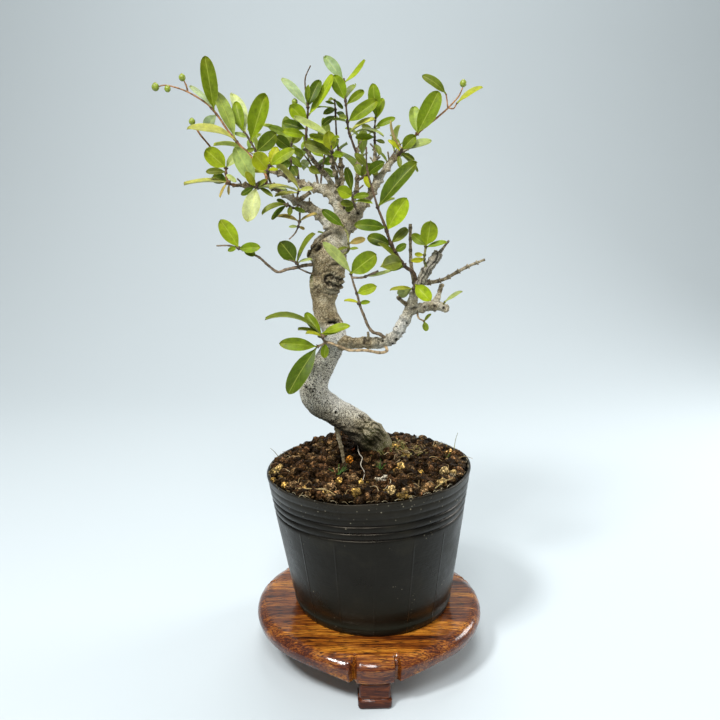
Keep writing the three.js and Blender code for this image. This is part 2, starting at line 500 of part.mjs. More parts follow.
// Where a blade's midrib, sides and faces lie, from its root, tip, width and arch
function bladeFrame({ root, tip, width, arch, up }) {
  const ahead = new THREE.Vector3().subVectors(tip, root);
  const length = ahead.length();
  ahead.normalize();
  const facing = up ? new THREE.Vector3(0, 0.25, 1) : new THREE.Vector3(0, -0.978, 0.209);
  facing.addScaledVector(ahead, -facing.dot(ahead)).normalize();
  const edge = new THREE.Vector3().crossVectors(ahead, facing);
  const full = Math.max(width, SLENDER * length);
  const roll = up ? 0 : Math.acos(Math.min(1, width / full));
  const side = edge.z > 0 ? 1 : -1;
  const face = facing.clone().multiplyScalar(Math.cos(roll))
    .addScaledVector(edge, side * Math.sin(roll));
  const across = new THREE.Vector3().crossVectors(ahead, face);
  const rib = (t) => root.clone().addScaledVector(ahead, length * t)
    .addScaledVector(face, length * arch * 4 * t * (1 - t));
  return { rib, face, across, length, half: full / 2 };
}

// Half the width of a blade at a place along it, as a part of the widest
function halfWidth(t) {
  const outline = OUTLINES.at(-1).at;
  const i = Math.max(1, outline.findIndex(([along]) => along >= t));
  const [[t0, w0], [t1, w1]] = [outline[i - 1], outline[i]];
  return w0 + ((w1 - w0) * (t - t0)) / (t1 - t0);
}

function samples(leaf) {
  const { rib, across, half } = bladeFrame(leaf);
  const found = [];
  for (let i = 1; i <= 10; i += 1) {
    for (const s of [-0.9, -0.3, 0.3, 0.9]) {
      const t = i / 10;
      found.push([rib(t).addScaledVector(across, s * half * halfWidth(t)), t]);
    }
  }
  return found;
}

// How clear a leaf is of all that is held: 0 or more is clear
function room(leaf, node) {
  let least = 99;
  for (const [point, t] of samples(leaf)) {
    for (const [x, y, z, reach, other, along] of held) {
      const own = other === node;
      if (own ? (along < 0 || along < 0.4 || t < 0.4) : (along < 0 && t < 0.15)) {
        continue;
      }
      const away = Math.hypot(point.x - x, point.y - y, point.z - z) - (own ? 0.7 : 1) * reach;
      least = Math.min(least, away);
      if (least < -3) {
        return least;
      }
    }
  }
  return least;
}

// Swings a leaf's tip nearer or further along the line of sight until it is clear
const SWINGS = [0, 3, -3, 6, -6, 9, -9, 12, -12];

function bendClear(leaf, node) {
  const tries = SWINGS.map((swing) => {
    const slide = swing / -EYE[1];
    const eye = new THREE.Vector3(...EYE);
    const tip = leaf.tip.clone().addScaledVector(new THREE.Vector3().subVectors(leaf.tip, eye), slide);
    return { ...leaf, tip };
  });
  let best = null;
  let most = -99;
  for (const attempt of tries) {
    const space = room(attempt, node);
    if (space > most) {
      best = attempt;
      most = space;
    }
    if (space >= 0) {
      break;
    }
  }
  samples(best).forEach(([point, t]) => hold(point, 2.1, node, t));
  return best;
}

// A leaf that was placed as seen: its root is on the nearest point of its shoot
function seenLeaf([x0, z0, x1, z1, width, depth, arch = 0.08], runs) {
  const near = runs.flat().reduce((a, b) => (
    Math.hypot(b[0] - x0, b[1] - z0) < Math.hypot(a[0] - x0, a[1] - z0) ? b : a));
  return { root: place(near), tip: place([x1, z1, near[2] + depth]), width, arch, up: false };
}

// Opposite pairs of leaves up a shoot, each pair turned a quarter from the last
function pairedLeaves({ route, pairs, blade }, draw) {
  const run = smooth(route, 6);
  const points = run.map(place);
  const turns = frames(points);
  const found = [];
  for (let pair = 0; pair < pairs; pair += 1) {
    const i = Math.round((run.length - 1) * (0.4 + (0.6 * pair) / (pairs - 1)));
    for (const hand of [-1, 1]) {
      const length = blade * (0.75 + 0.4 * draw());
      const lead = 0.55 + 0.35 * draw();
      const out = (pair % 2 ? turns[i].across : turns[i].side).clone().multiplyScalar(hand);
      const way = out.addScaledVector(turns[i].ahead, lead).add(new THREE.Vector3(0, 0, 0.25));
      const tip = points[i].clone().addScaledVector(way.normalize(), length);
      const width = length * (0.3 + 0.08 * draw());
      found.push({ root: points[i], tip, width, arch: 0.1, up: true });
    }
  }
  return found;
}

// A leaf's blade: a flat bar of the true outline, pointed at both ends and arched along its length
function bladeSolid(leaf) {
  const { rib, face, across, length, half } = bladeFrame(leaf);
  const stations = OUTLINES.find(({ upTo }) => length < upTo).at;
  const last = stations.length - 1;
  const geometry = new THREE.SphereGeometry(1, 4, last);
  return solid(shape(geometry, ({ x, y, z }) => {
    const i = Math.round((Math.acos(Math.min(1, Math.max(-1, y))) / Math.PI) * last);
    const [along, width] = i === 0 ? [-SUNK / length, 0] : stations[i];
    const point = rib(along);
    if (i === 0 || i === last) {
      return point;
    }
    const corner = Math.round((Math.atan2(z, x) / (2 * Math.PI)) * 4 + 4) % 4;
    const [hand, side] = [[1, 1], [1, -1], [-1, -1], [-1, 1]][corner];
    return point.addScaledVector(face, side * (BLADE_THICK / 2))
      .addScaledVector(across, hand * half * width);
  }));
}

// All shoots' stems take their room first, then each shoot's leaves are bent clear
function grow() {
  Object.values(LIMBS).forEach((route) => holdRun(route, 'tree'));
  const stems = {};
  for (const [name, shoot] of Object.entries(SHOOTS)) {
    const twigs = [...(shoot.twigs ?? []), ...(shoot.stalks ?? [])];
    const slim = [shoot.thick[0] * 0.6, shoot.thick[1]];
    stems[name] = [taper(shoot.route, shoot.thick), ...twigs.map((twig) => taper(twig, slim))];
    stems[name].forEach((stem) => holdRun(stem, name));
  }
  const draw = draws(7);
  return Object.entries(SHOOTS).map(([name, shoot]) => {
    const runs = stems[name].map((stem) => smooth(stem, 4));
    const seen = (shoot.leaves ?? []).map((leaf) => seenLeaf(leaf, runs));
    const wanted = shoot.pairs ? pairedLeaves(shoot, draw) : seen;
    const leaves = wanted.map((leaf) => bendClear(leaf, name));
    return { name, stems: stems[name], leaves, berries: shoot.berries ?? [] };
  });
}

// A leafy shoot in one body, clear of the wood that it grows from
function shootSolid({ stems, leaves, berries }, clearance) {
  const twigs = stems.map((stem, i) => limb(stem, i === 0 ? 4 : 3));
  return mainBody(join([...twigs, ...leaves.map(bladeSolid), ...berries.map(ball)]).subtract(clearance));
}

// The pot leans a little, and its rim rises to the right: the soil in it follows
function settle({ x, y, z }) {
  const part = (z - STAND_TOP) / POT_HEIGHT;
  return new THREE.Vector3(x + POT_LEAN * part, y, z + RIM_TILT * x * part);
}

function wallRadius(height) {
  return POT_BASE_R + (POT_RIM_R - POT_BASE_R) * (height / POT_HEIGHT);
}

// Turned on the Z axis from a profile of [radius, height]
function turned(profile, segments) {
  const geometry = new THREE.LatheGeometry(profile.map(([r, h]) => new THREE.Vector2(r, h)), segments);
  return geometry.rotateX(Math.PI / 2);
}

function potSolid() {
  const outside = [[0, 0], [POT_BASE_R - 1.6, 0], [POT_BASE_R - 0.5, 1.2], [wallRadius(4.5), 4.5],
    [wallRadius(5.2) - 0.6, 5.2], [wallRadius(9.5), 9.8]];
  const ribs = RIBS_UP.flatMap((up) => [[wallRadius(up - RIB_PITCH / 2), up - RIB_PITCH / 2],
    [wallRadius(up) - RIB_DEEP, up]]);
  const rim = [[wallRadius(POT_HEIGHT - 2.5), POT_HEIGHT - 2.5], [POT_RIM_R, POT_HEIGHT - 0.6],
    [POT_RIM_R - 0.5, POT_HEIGHT], [POT_RIM_R - POT_WALL, POT_HEIGHT - 0.2]];
  const inside = [[wallRadius(POT_WALL) - POT_WALL, POT_WALL], [0, POT_WALL]];
  const geometry = turned([...outside, ...ribs, ...rim, ...inside], 28);
  const wall = solid(shape(geometry.translate(0, 0, STAND_TOP), settle));
  const holes = [];
  for (let i = 0; i < DRAIN_HOLES; i += 1) {
    const angle = (2 * Math.PI * (i + 0.5)) / DRAIN_HOLES;
    const hole = new THREE.CylinderGeometry(DRAIN_R, DRAIN_R, 3 * POT_WALL, 6).rotateX(Math.PI / 2);
    hole.translate(DRAIN_AT * Math.cos(angle), DRAIN_AT * Math.sin(angle), STAND_TOP);
    holes.push(solid(hole));
  }
  return wall.subtract(join(holes));
}

// Height of the soil: level with the rim, mounded at the trunk, hollow under its first bend
function soilHeight(x, y) {
  const bump = ([cx, cy], spread) => Math.exp(-(((x - cx) ** 2 + (y - cy) ** 2) / spread ** 2));
  return STAND_TOP + POT_HEIGHT - SOIL_BELOW_RIM + MOUND * bump(MOUND_AT, MOUND_WIDE)
    - HOLLOW * bump(HOLLOW_AT, HOLLOW_WIDE);
}

// The soil fills the pot, with its grains as relief, and the trunk stands in a plain hole in it
function soilSolid(roots) {
  const rings = 9;
  const below = 3;
  const around = 28;
  const draw = draws(11);
  const grains = Array.from({ length: rings * around }, () => GRAIN * (2 * draw() - 1));
  const geometry = new THREE.SphereGeometry(1, around, rings + below);
  const top = wallRadius(POT_HEIGHT - SOIL_BELOW_RIM) - POT_WALL - 2 * GAP;
  const floor = STAND_TOP + POT_WALL + GAP;
  const bottom = wallRadius(POT_WALL) - POT_WALL - GAP;
  return solid(shape(geometry, ({ x, y, z }) => {
    const ring = Math.round((Math.acos(Math.min(1, Math.max(-1, y))) / Math.PI) * (rings + below));
    const turn = Math.round((Math.atan2(z, x) / (2 * Math.PI) + 1) * around) % around;
    const angle = (-2 * Math.PI * turn) / around;
    if (ring >= rings) {
      const edge = STAND_TOP + POT_HEIGHT - SOIL_BELOW_RIM;
      const profile = [[top, edge], [bottom + GAP, floor + 1], [bottom / 2, floor], [0, floor]];
      const [radius, height] = profile[ring - rings];
      return settle({ x: radius * Math.cos(angle), y: radius * Math.sin(angle), z: height });
    }
    const radius = (top * ring) / rings;
    const [px, py] = [radius * Math.cos(angle), radius * Math.sin(angle)];
    const grain = ring === 0 ? 0 : grains[ring * around + turn];
    return settle({ x: px, y: py, z: soilHeight(px, py) + grain });
  })).subtract(roots);
}

// The board with an apron that deepens at each foot, and a carved groove on each side of it
function standSolid() {
  const low = STAND_TOP - BOARD_THICK;
  const board = solid(turned([[0, low], [BOARD_R - 3, low], [BOARD_R - 0.6, low + 1.5],
    [BOARD_R, low + 4], [BOARD_R - 0.5, low + 6.4], [BOARD_R - 1.5, low + 7.6],
    [BOARD_R - 2.8, STAND_TOP], [0, STAND_TOP]], 36));
  const outline2D = new THREE.Shape();
  outline2D.moveTo(-APRON_HALF, low + 2);
  outline2D.lineTo(-APRON_HALF, low);
  outline2D.quadraticCurveTo(-CUSP_X - 14, low - 1.2, -CUSP_X, APRON_LOW);
  outline2D.lineTo(CUSP_X, APRON_LOW);
  outline2D.quadraticCurveTo(CUSP_X + 14, low - 1.2, APRON_HALF, low);
  outline2D.lineTo(APRON_HALF, low + 2);
  const strip = new THREE.ExtrudeGeometry(outline2D, { depth: 34, bevelEnabled: false, curveSegments: 4 });
  strip.rotateX(Math.PI / 2).translate(0, -30, 0);
  const ring = solid(turned([[BOARD_R - 13, low - 9], [BOARD_R - 1, low - 9], [BOARD_R - 0.6, low + 3],
    [BOARD_R - 13, low + 3], [BOARD_R - 13, low - 9]], 36));
  const knee = new THREE.CylinderGeometry(8.6, 8, STAND_TOP - 2 - APRON_LOW, 10);
  knee.rotateX(Math.PI / 2).scale(1, 0.45, 1).translate(0, -BOARD_R + 3, (STAND_TOP - 2 + APRON_LOW) / 2);
  const apron = solid(strip).intersect(ring).add(solid(knee));
  const grooves = [-1, 1].map((hand) => {
    const groove = new THREE.CylinderGeometry(0.5, 2.1, STAND_TOP - APRON_LOW, 5).rotateX(Math.PI / 2);
    return solid(groove.translate(hand * CUSP_X, -BOARD_R + 0.6, (STAND_TOP + APRON_LOW) / 2 - 1));
  });
  const aprons = [];
  const cuts = [];
  for (let foot = 0; foot < FEET; foot += 1) {
    const turn = [0, 0, (360 / FEET) * foot];
    aprons.push(apron.rotate(turn));
    grooves.forEach((groove) => cuts.push(groove.rotate(turn)));
  }
  return join([board, ...aprons]).subtract(join(cuts)).rotate([0, 0, STAND_TURN])
    .translate([STAND_X, 0, 0]);
}

// A foot: a block with rounded lower corners, face to face with the apron's underside
function footSolid(turn) {
  const half = FOOT_WIDTH / 2;
  const side = new THREE.Shape();
  side.moveTo(-half, APRON_LOW);
  side.lineTo(-half + 0.4, FOOT_ROUND);
  side.absarc(-half + 0.4 + FOOT_ROUND, FOOT_ROUND, FOOT_ROUND, Math.PI, 1.5 * Math.PI, false);
  side.lineTo(half - 0.4 - FOOT_ROUND, 0);
  side.absarc(half - 0.4 - FOOT_ROUND, FOOT_ROUND, FOOT_ROUND, 1.5 * Math.PI, 2 * Math.PI, false);
  side.lineTo(half, APRON_LOW);
  const flat = { depth: FOOT_DEEP, bevelEnabled: false, curveSegments: 4 };
  const block = new THREE.ExtrudeGeometry(side, flat);
  block.rotateX(Math.PI / 2).translate(0, -BOARD_R + FOOT_DEEP + FOOT_IN, 0);
  return solid(block).rotate([0, 0, turn + STAND_TURN]).translate([STAND_X, 0, 0]);
}

// The finished plant, pot and stand as named meshes
const plant = new THREE.Group();
plant.name = 'border_privet_bonsai';
plant.position.set(-BOX_MIDDLE[0], -BOX_MIDDLE[1], 0);

function add(name, whole, color, roughness, metalness = 0) {
  const { vertProperties, triVerts } = whole.getMesh();
  const geometry = new THREE.BufferGeometry();
  geometry.setAttribute('position', new THREE.BufferAttribute(new Float32Array(vertProperties), 3));
  geometry.setIndex(new THREE.BufferAttribute(new Uint32Array(triVerts), 1));
  geometry.computeVertexNormals();
  const mesh = new THREE.Mesh(geometry, new THREE.MeshStandardMaterial({ color, roughness, metalness }));
  mesh.name = name;
  plant.add(mesh);
}

const clearance = wood(GAP + 0.05);
add('stand_board', standSolid(), '#7a3d12', 0.25);
['front', 'right', 'left'].forEach((side, i) => {
  add(`stand_foot_${side}`, footSolid((360 / FEET) * i), '#5a2812', 0.3);
});
add('pot', potSolid(), '#2d2d2c', 0.45);
add('soil', soilSolid(clearance), '#3a2a1e', 0.95);
add('tree', mainBody(wood(0)), '#9a8f80', 0.85);
for (const shoot of grow()) {
  add(shoot.name, shootSolid(shoot, clearance), '#6f8f1c', 0.45);
}

export default plant;
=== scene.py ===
# %% [markdown]
# # A border privet bonsai in a soft nursery pot, on a lacquered display stand
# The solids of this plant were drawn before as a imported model, in whole millimetres and plain facets.
# Here they are dressed: every leaf gets its veins, the old wood its bark, the pot its grooves and dust,
# and the stand its polished grain. Nothing is moved, so each new piece goes where its solid already is.

import math
from functools import partial

import bpy
import numpy as np
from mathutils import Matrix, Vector, noise


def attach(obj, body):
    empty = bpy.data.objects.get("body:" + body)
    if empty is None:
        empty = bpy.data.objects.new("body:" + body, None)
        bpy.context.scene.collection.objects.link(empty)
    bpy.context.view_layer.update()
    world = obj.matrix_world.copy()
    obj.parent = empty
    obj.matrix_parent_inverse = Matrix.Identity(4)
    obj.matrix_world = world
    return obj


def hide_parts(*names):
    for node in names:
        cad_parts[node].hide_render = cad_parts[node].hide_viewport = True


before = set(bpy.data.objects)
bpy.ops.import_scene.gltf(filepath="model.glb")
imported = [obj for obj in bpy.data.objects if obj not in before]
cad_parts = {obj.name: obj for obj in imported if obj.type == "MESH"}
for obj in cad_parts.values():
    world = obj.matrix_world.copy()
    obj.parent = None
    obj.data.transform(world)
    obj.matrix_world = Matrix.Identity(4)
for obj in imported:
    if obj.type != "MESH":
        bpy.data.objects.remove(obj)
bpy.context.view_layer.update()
print("nodes of the packed model:", len(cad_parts))

# %% [markdown]
# ## The camera
# The photograph was taken from a little above the plant's crown, so the pot's rim and the board's top
# both show as ellipses. Those two ellipses, and how fast they narrow, gave the camera its height,
# its pitch and its lens. It comes first, because the rest is judged through it.


# %% Set up the camera
def add_camera():
    """A 38 mm lens at the height of the crown, looking about 12 degrees down."""
    bpy.ops.object.select_all(action="DESELECT")
    pitch = math.radians(90 - 12.08)
    bpy.ops.object.camera_add(location=(0.0170, -0.37355, 0.2366), rotation=(pitch, 0, 0))
    camera = bpy.context.object
    camera.name = "camera_front"
    camera.data.lens = 38
    camera.data.sensor_width = 36
    camera.data.clip_start = 0.01
    bpy.context.scene.camera = camera
    bpy.context.scene.view_settings.view_transform = "Standard"
    return camera


print("camera at", tuple(round(value, 4) for value in add_camera().location))

# %% [markdown]
# ## Small helpers for materials
# A real colour is noted as an sRGB hex value, as a colour card gives it, and Blender counts in linear
# light, so one function turns one into the other. A material starts as one shader with its constant
# values set on its own sockets. Then one function adds any node, with its settings and its links. Each
# material comes with that function tied to it, under the name add, which keeps it a short list that
# reads from the pattern to the finish.


# %% Colours and nodes
def linear(hex_colour):
    """Turns an sRGB hex colour into the linear red, green, blue and alpha that Blender uses."""
    parts = [int(hex_colour[i:i + 2], 16) / 255 for i in (1, 3, 5)]
    light = [part / 12.92 if part <= 0.04045 else ((part + 0.055) / 1.055) ** 2.4 for part in parts]
    return (*light, 1.0)


def set_socket(socket, value):
    """Sets a constant. A hex colour is turned to linear light first."""
    socket.default_value = linear(value) if isinstance(value, str) else value


def new_material(name, values):
    """A material with its constants set on its shader's sockets, and the function that adds its nodes."""
    material = bpy.data.materials.new(name)
    material.use_nodes = True
    shader = material.node_tree.nodes["Principled BSDF"]
    for socket, value in values.items():
        set_socket(shader.inputs[socket], value)
    return material, partial(add_node, material)


USUAL_OUTPUT = {"MIX": 2, "TEX_COORD": "Object"}


def add_node(material, kind, settings=None, links=None):
    """Adds a node. A setting in capitals or a number is a socket, and "ramp" is a list of colour stops.

    A link names a node and its output, or only the node, for its usual output: a mix's colour, the
    place on the piece, and otherwise the first."""
    if kind == "shader":
        node = material.node_tree.nodes["Principled BSDF"]
    else:
        node = material.node_tree.nodes.new("ShaderNode" + kind)
    if kind == "Mix":
        node.data_type = "RGBA"
    for key, value in (settings or {}).items():
        if key == "ramp":
            stops = node.color_ramp.elements
            while len(stops) < len(value):
                stops.new(1.0)
            for stop, (place_on_ramp, colour) in zip(stops, value):
                stop.position = place_on_ramp
                stop.color = linear(colour)
        elif isinstance(key, int) or key[0].isupper():
            set_socket(node.inputs[key], value)
        else:
            setattr(node, key, value)
    for socket, link in (links or {}).items():
        source, output = link if isinstance(link, tuple) else (link, USUAL_OUTPUT.get(link.type, 0))
        material.node_tree.links.new(source.outputs[output], node.inputs[socket])
    return node


print("pure mid grey in linear light:", round(linear("#808080")[0], 3))

# %% [markdown]
# ## Studio floor and soft light
# A plant like this is shown on a pale table before a pale sweep of paper. The floor runs back and curves
# up behind, so no horizon line crosses the leaves. The main light is a softbox at the upper left. A weaker
# one in front softens its shadows, one at the right draws a grey edge down the pot, one above lights the
# crown, and one lights the sweep behind. A pale sky fills in from all round.


# %% Floor and lights
def add_sweep():
    """A pale sheet that lies flat under the stand and curves up far behind it."""
    bpy.ops.object.select_all(action="DESELECT")
    bpy.ops.mesh.primitive_plane_add(size=4.0, location=(0, -0.6, 0))
    sheet = bpy.context.object
    sheet.name = "floor_sweep"
    bpy.ops.object.transform_apply(location=True)
    bpy.ops.object.mode_set(mode="EDIT")
    bpy.ops.mesh.select_all(action="DESELECT")
    bpy.ops.object.mode_set(mode="OBJECT")
    for edge in sheet.data.edges:
        ends = [sheet.data.vertices[i].co.y for i in edge.vertices]
        edge.select = min(ends) > 1.0
    bpy.ops.object.mode_set(mode="EDIT")
    bpy.ops.mesh.select_mode(type="EDGE")
    bpy.ops.mesh.extrude_region_move(TRANSFORM_OT_translate={"value": (0, 0, 2.4)})
    bpy.ops.mesh.select_all(action="DESELECT")
    bpy.ops.object.mode_set(mode="OBJECT")
    for edge in sheet.data.edges:
        ends = [sheet.data.vertices[i].co for i in edge.vertices]
        edge.select = all(end.y > 1.0 and end.z < 0.1 for end in ends)
    bpy.ops.object.mode_set(mode="EDIT")
    bpy.ops.mesh.bevel(offset=0.9, segments=16)
    bpy.ops.object.mode_set(mode="OBJECT")
    bpy.ops.object.shade_smooth()
    paper, _ = new_material("pale paper sweep", {"Base Color": "#c6cfd3", "Roughness": 0.9})
    sheet.data.materials.append(paper)
    return sheet


def add_softbox(name, place, aim, size, power):
    """A square softbox that faces a point."""
    bpy.ops.object.select_all(action="DESELECT")
    bpy.ops.object.light_add(type="AREA", location=place)
    lamp = bpy.context.object
    lamp.name = name
    lamp.rotation_euler = (Vector(aim) - Vector(place)).to_track_quat("-Z", "Y").to_euler()
    lamp.data.size = size
    lamp.data.energy = power
    return lamp


def add_sky(colour, strength):
    """An even pale light from all round."""
    world = bpy.data.worlds.new("pale sky")
    bpy.context.scene.world = world
    world.use_nodes = True
    sky = world.node_tree.nodes["Background"]
    sky.inputs["Color"].default_value = linear(colour)
    sky.inputs["Strength"].default_value = strength


add_sweep()
add_sky("#f1f3f0", 0.33)
add_softbox("softbox_key", (-0.38, -0.55, 0.9), (0.0, 0.0, 0.12), 0.16, 9.0)
add_softbox("softbox_front", (-0.02, -0.62, 0.84), (0.0, 0.0, 0.12), 0.26, 4.4)
add_softbox("softbox_right", (0.72, 0.26, 0.36), (0.0, 0.0, 0.1), 0.28, 3.0)
add_softbox("softbox_top", (0.05, 0.3, 1.0), (0.0, 0.0, 0.2), 0.4, 3.0)
add_softbox("softbox_sweep", (0.0, 0.5, 1.3), (0.0, 1.5, 0.85), 0.8, 6.8)

# %% [markdown]
# ## How the plant was noted down
# The whole plant is kept as a short list of measurements in millimetres. A point is noted as it is seen
# from the front: how far across, how high, and how deep. Sliding it along the line of sight to its
# depth gives its place in space, so the front view stays right while the plant gains a back.
# A limb is a route of such points with a radius. A shoot is a stem, its side twigs, and its leaves, and
# each leaf has its root and tip, its width, how much deeper its tip lies, sometimes its arch, and one
# letter for its colour: m mid green, d dark, o olive, b bright, y yellow-green, l lemon, p pale,
# w whitish, s silvery, g grey-green and t tan. A shoot behind the tree has only a count of pairs of
# leaves and the length of a blade.

# %% The limbs of old wood
EYE = np.array([-7.0, -374.0, 236.6])
TO_ROW = np.array([24.0, 0.45, 0.0])


def numbers(text):
    """Reads "1 2 3, 4 5 6" as rows of numbers. A word that starts with # stays a colour."""
    return [[word if word[0] == "#" else float(word) for word in row.split()] for row in text.split(",")]


def read_notes(text):
    """Reads lines such as "trunk: 1 2 3, 4 5 6" in order. A line that starts with a space goes on."""
    return [entry.split(": ") for entry in text.strip().replace("\n  ", " ").split("\n")]


LIMBS = {name: numbers(points) for name, points in read_notes("""
trunk: 4 92 18 9.5, 3 106 16 8.7, 0.5 113.5 13 8.2, -5 119.5 9 7.8, -12.3 125.5 6 7.2, -21 130.5 4 7.2,
  -28 135.5 2 7.5, -30.5 141.5 0 7.3, -28.5 148.5 0 6.5, -24.5 156 0 5.9, -21 162.5 0 5.6,
  -19.5 168.5 0 5.6, -20.7 174 0 5.6, -24 180 0 5.8, -25 186 0 5.8, -24.5 191 0 7, -24 195.5 0 8,
  -22.7 200 0 7.9, -22.3 205 0 8.4, -22.3 210.5 0 9.2, -19.2 215.5 0 7.5, -17 220 0 5.6, -14.5 226 0 4.8
left_low: -17 219 0 4.2, -21.5 224 -1 3.2, -27 228.7 -2 2.7, -33 232.5 -3 2.3, -38 234.8 -4 1.9,
  -43 238 -5 1.6, -49 241.5 -7 1.4, -55 242.3 -8 1.2, -61 242.2 -9 1.1, -68 242.3 -10 1
left_high: -14.5 225 1 4.2, -17 232 2 3.6, -21 238.5 3 3.1, -26 240.8 4 2.6, -31 241.5 5 2.1, -37 244 6 1.7,
  -43 247 8 1.4, -49 248.7 9 1.2, -53 250 10 1
right_main: -14 222 0 4.6, -8.5 230 -1 3.5, -3.5 236 -2 2.4, 0 241 -3 2, 3 246.5 -4 1.8, 7 252 -5 1.6,
  11 256 -6 1.4, 15 260 -7 1.1, 17.5 263 -7.5 0.9
centre: -12 227 2 2.2, -10.5 234 4 1.6, -8.7 240 5 1.3, -8.2 248 6 1.1, -8.2 254 6 1, -8.6 260 6 0.9
diagonal: -17 236 3 2.1, -22 245 0 1.6, -27 251 -3 1.4, -31 256.5 -5 1.2, -33 261.5 -6 1
inner: -17 236 1 1.9, -17.5 241 -3 1.4, -18.5 247 -8 1.2, -20.3 253 -11 1.1, -20 256.5 -12 0.9
rear: -16 234 4 1.9, -15.7 243 9 1.3, -16 252 11 1.1, -17.3 259 11 0.9
upright: -1 240 -2 1.5, 0.5 246 1 1.2, 0 253 4 1, 0.3 259.5 5 0.9
lower_right: -18 165.5 -1 4.4, -11 165.2 -4 3.1, -5 165.6 -5 2.8, 1 164.8 -6 2.6, 6 166.3 -7 2.9,
  10.5 169 -8 2.9, 13.5 174 -9 2.7, 16.5 179.5 -9 2.8, 18.5 184 -9 2.7, 19.5 188 -9 2.4, 20.7 192 -9 2.3,
  23 196.5 -10 2.3, 26 202 -11 2.5, 29.5 207 -12 2.5, 31.5 210.3 -13 2.1
knee_stub: 18 181 -9 2, 24 183.2 -8 2.3, 30 184.2 -7 2.5, 34 183.5 -6 1.9, 36.8 182.2 -6 1.3
knee_peg: 30 184.5 -7 1.9, 32 190 -6 1.3, 33.3 194.5 -5 1
bare_right: 24 195.5 -10 1.4, 30 196 -8 0.9, 35 197.5 -7 0.8, 40 200.3 -6 0.8, 46 203.5 -4 0.7,
  54 206.8 -2 0.55
bare_upright: 20.5 193 -9 1.2, 19 199 -9 1, 18 205 -9 0.85, 17.6 213 -9 0.75, 17.4 224 -8 0.8
peg_left: 18.5 183.5 -9 1.5, 14.5 185.8 -10 1, 11.5 188.5 -11 0.8
torn_tip: 31 209 -12.5 0.9, 34 213 -13 0.6, 36.3 216 -12 0.45
cut_stub: -37 235 -5 1.2, -34 236.8 -6.5 1.1, -31 239 -7.5 1.1
thorn: -5 166 -6 0.8, -3 168 -8 0.7, -3 170.8 -9 0.6
surface_root: -19 123 5 1.6, -18 116 5 1.1, -16.5 110 6 1, -15.5 104 7 0.9, -15 99 7 0.9
""")}

KNOTS = numbers("-20 198 -4.5 4, -1.5 119.5 4 5.2, -30 209 -3 3, -23.6 213.5 -3 4, 1 166 -7 2.4,"
                " -24 165 -5.5 1.6")
print("limbs:", len(LIMBS))


# %% The leafy shoots
def read_shoots(text):
    """Reads each shoot's first and last radius, its leaves' colours or count of pairs, and its routes."""
    shoots = {}
    for key, value in read_notes(text):
        if key in ("route", "leaves", "berries"):
            shoot[key] = numbers(value)
        elif key in ("twig", "stalk"):
            shoot[key + "s"].append(numbers(value))
        else:
            first, last, *leaves = value.split()
            shoot = {"thick": [float(first), float(last)], "twigs": [], "stalks": [], "berries": []}
            if len(leaves) == 1:
                shoot["tones"] = leaves[0]
            else:
                shoot["pairs"], shoot["blade"] = int(leaves[0]), float(leaves[1])
            shoots[key] = shoot
    return shoots


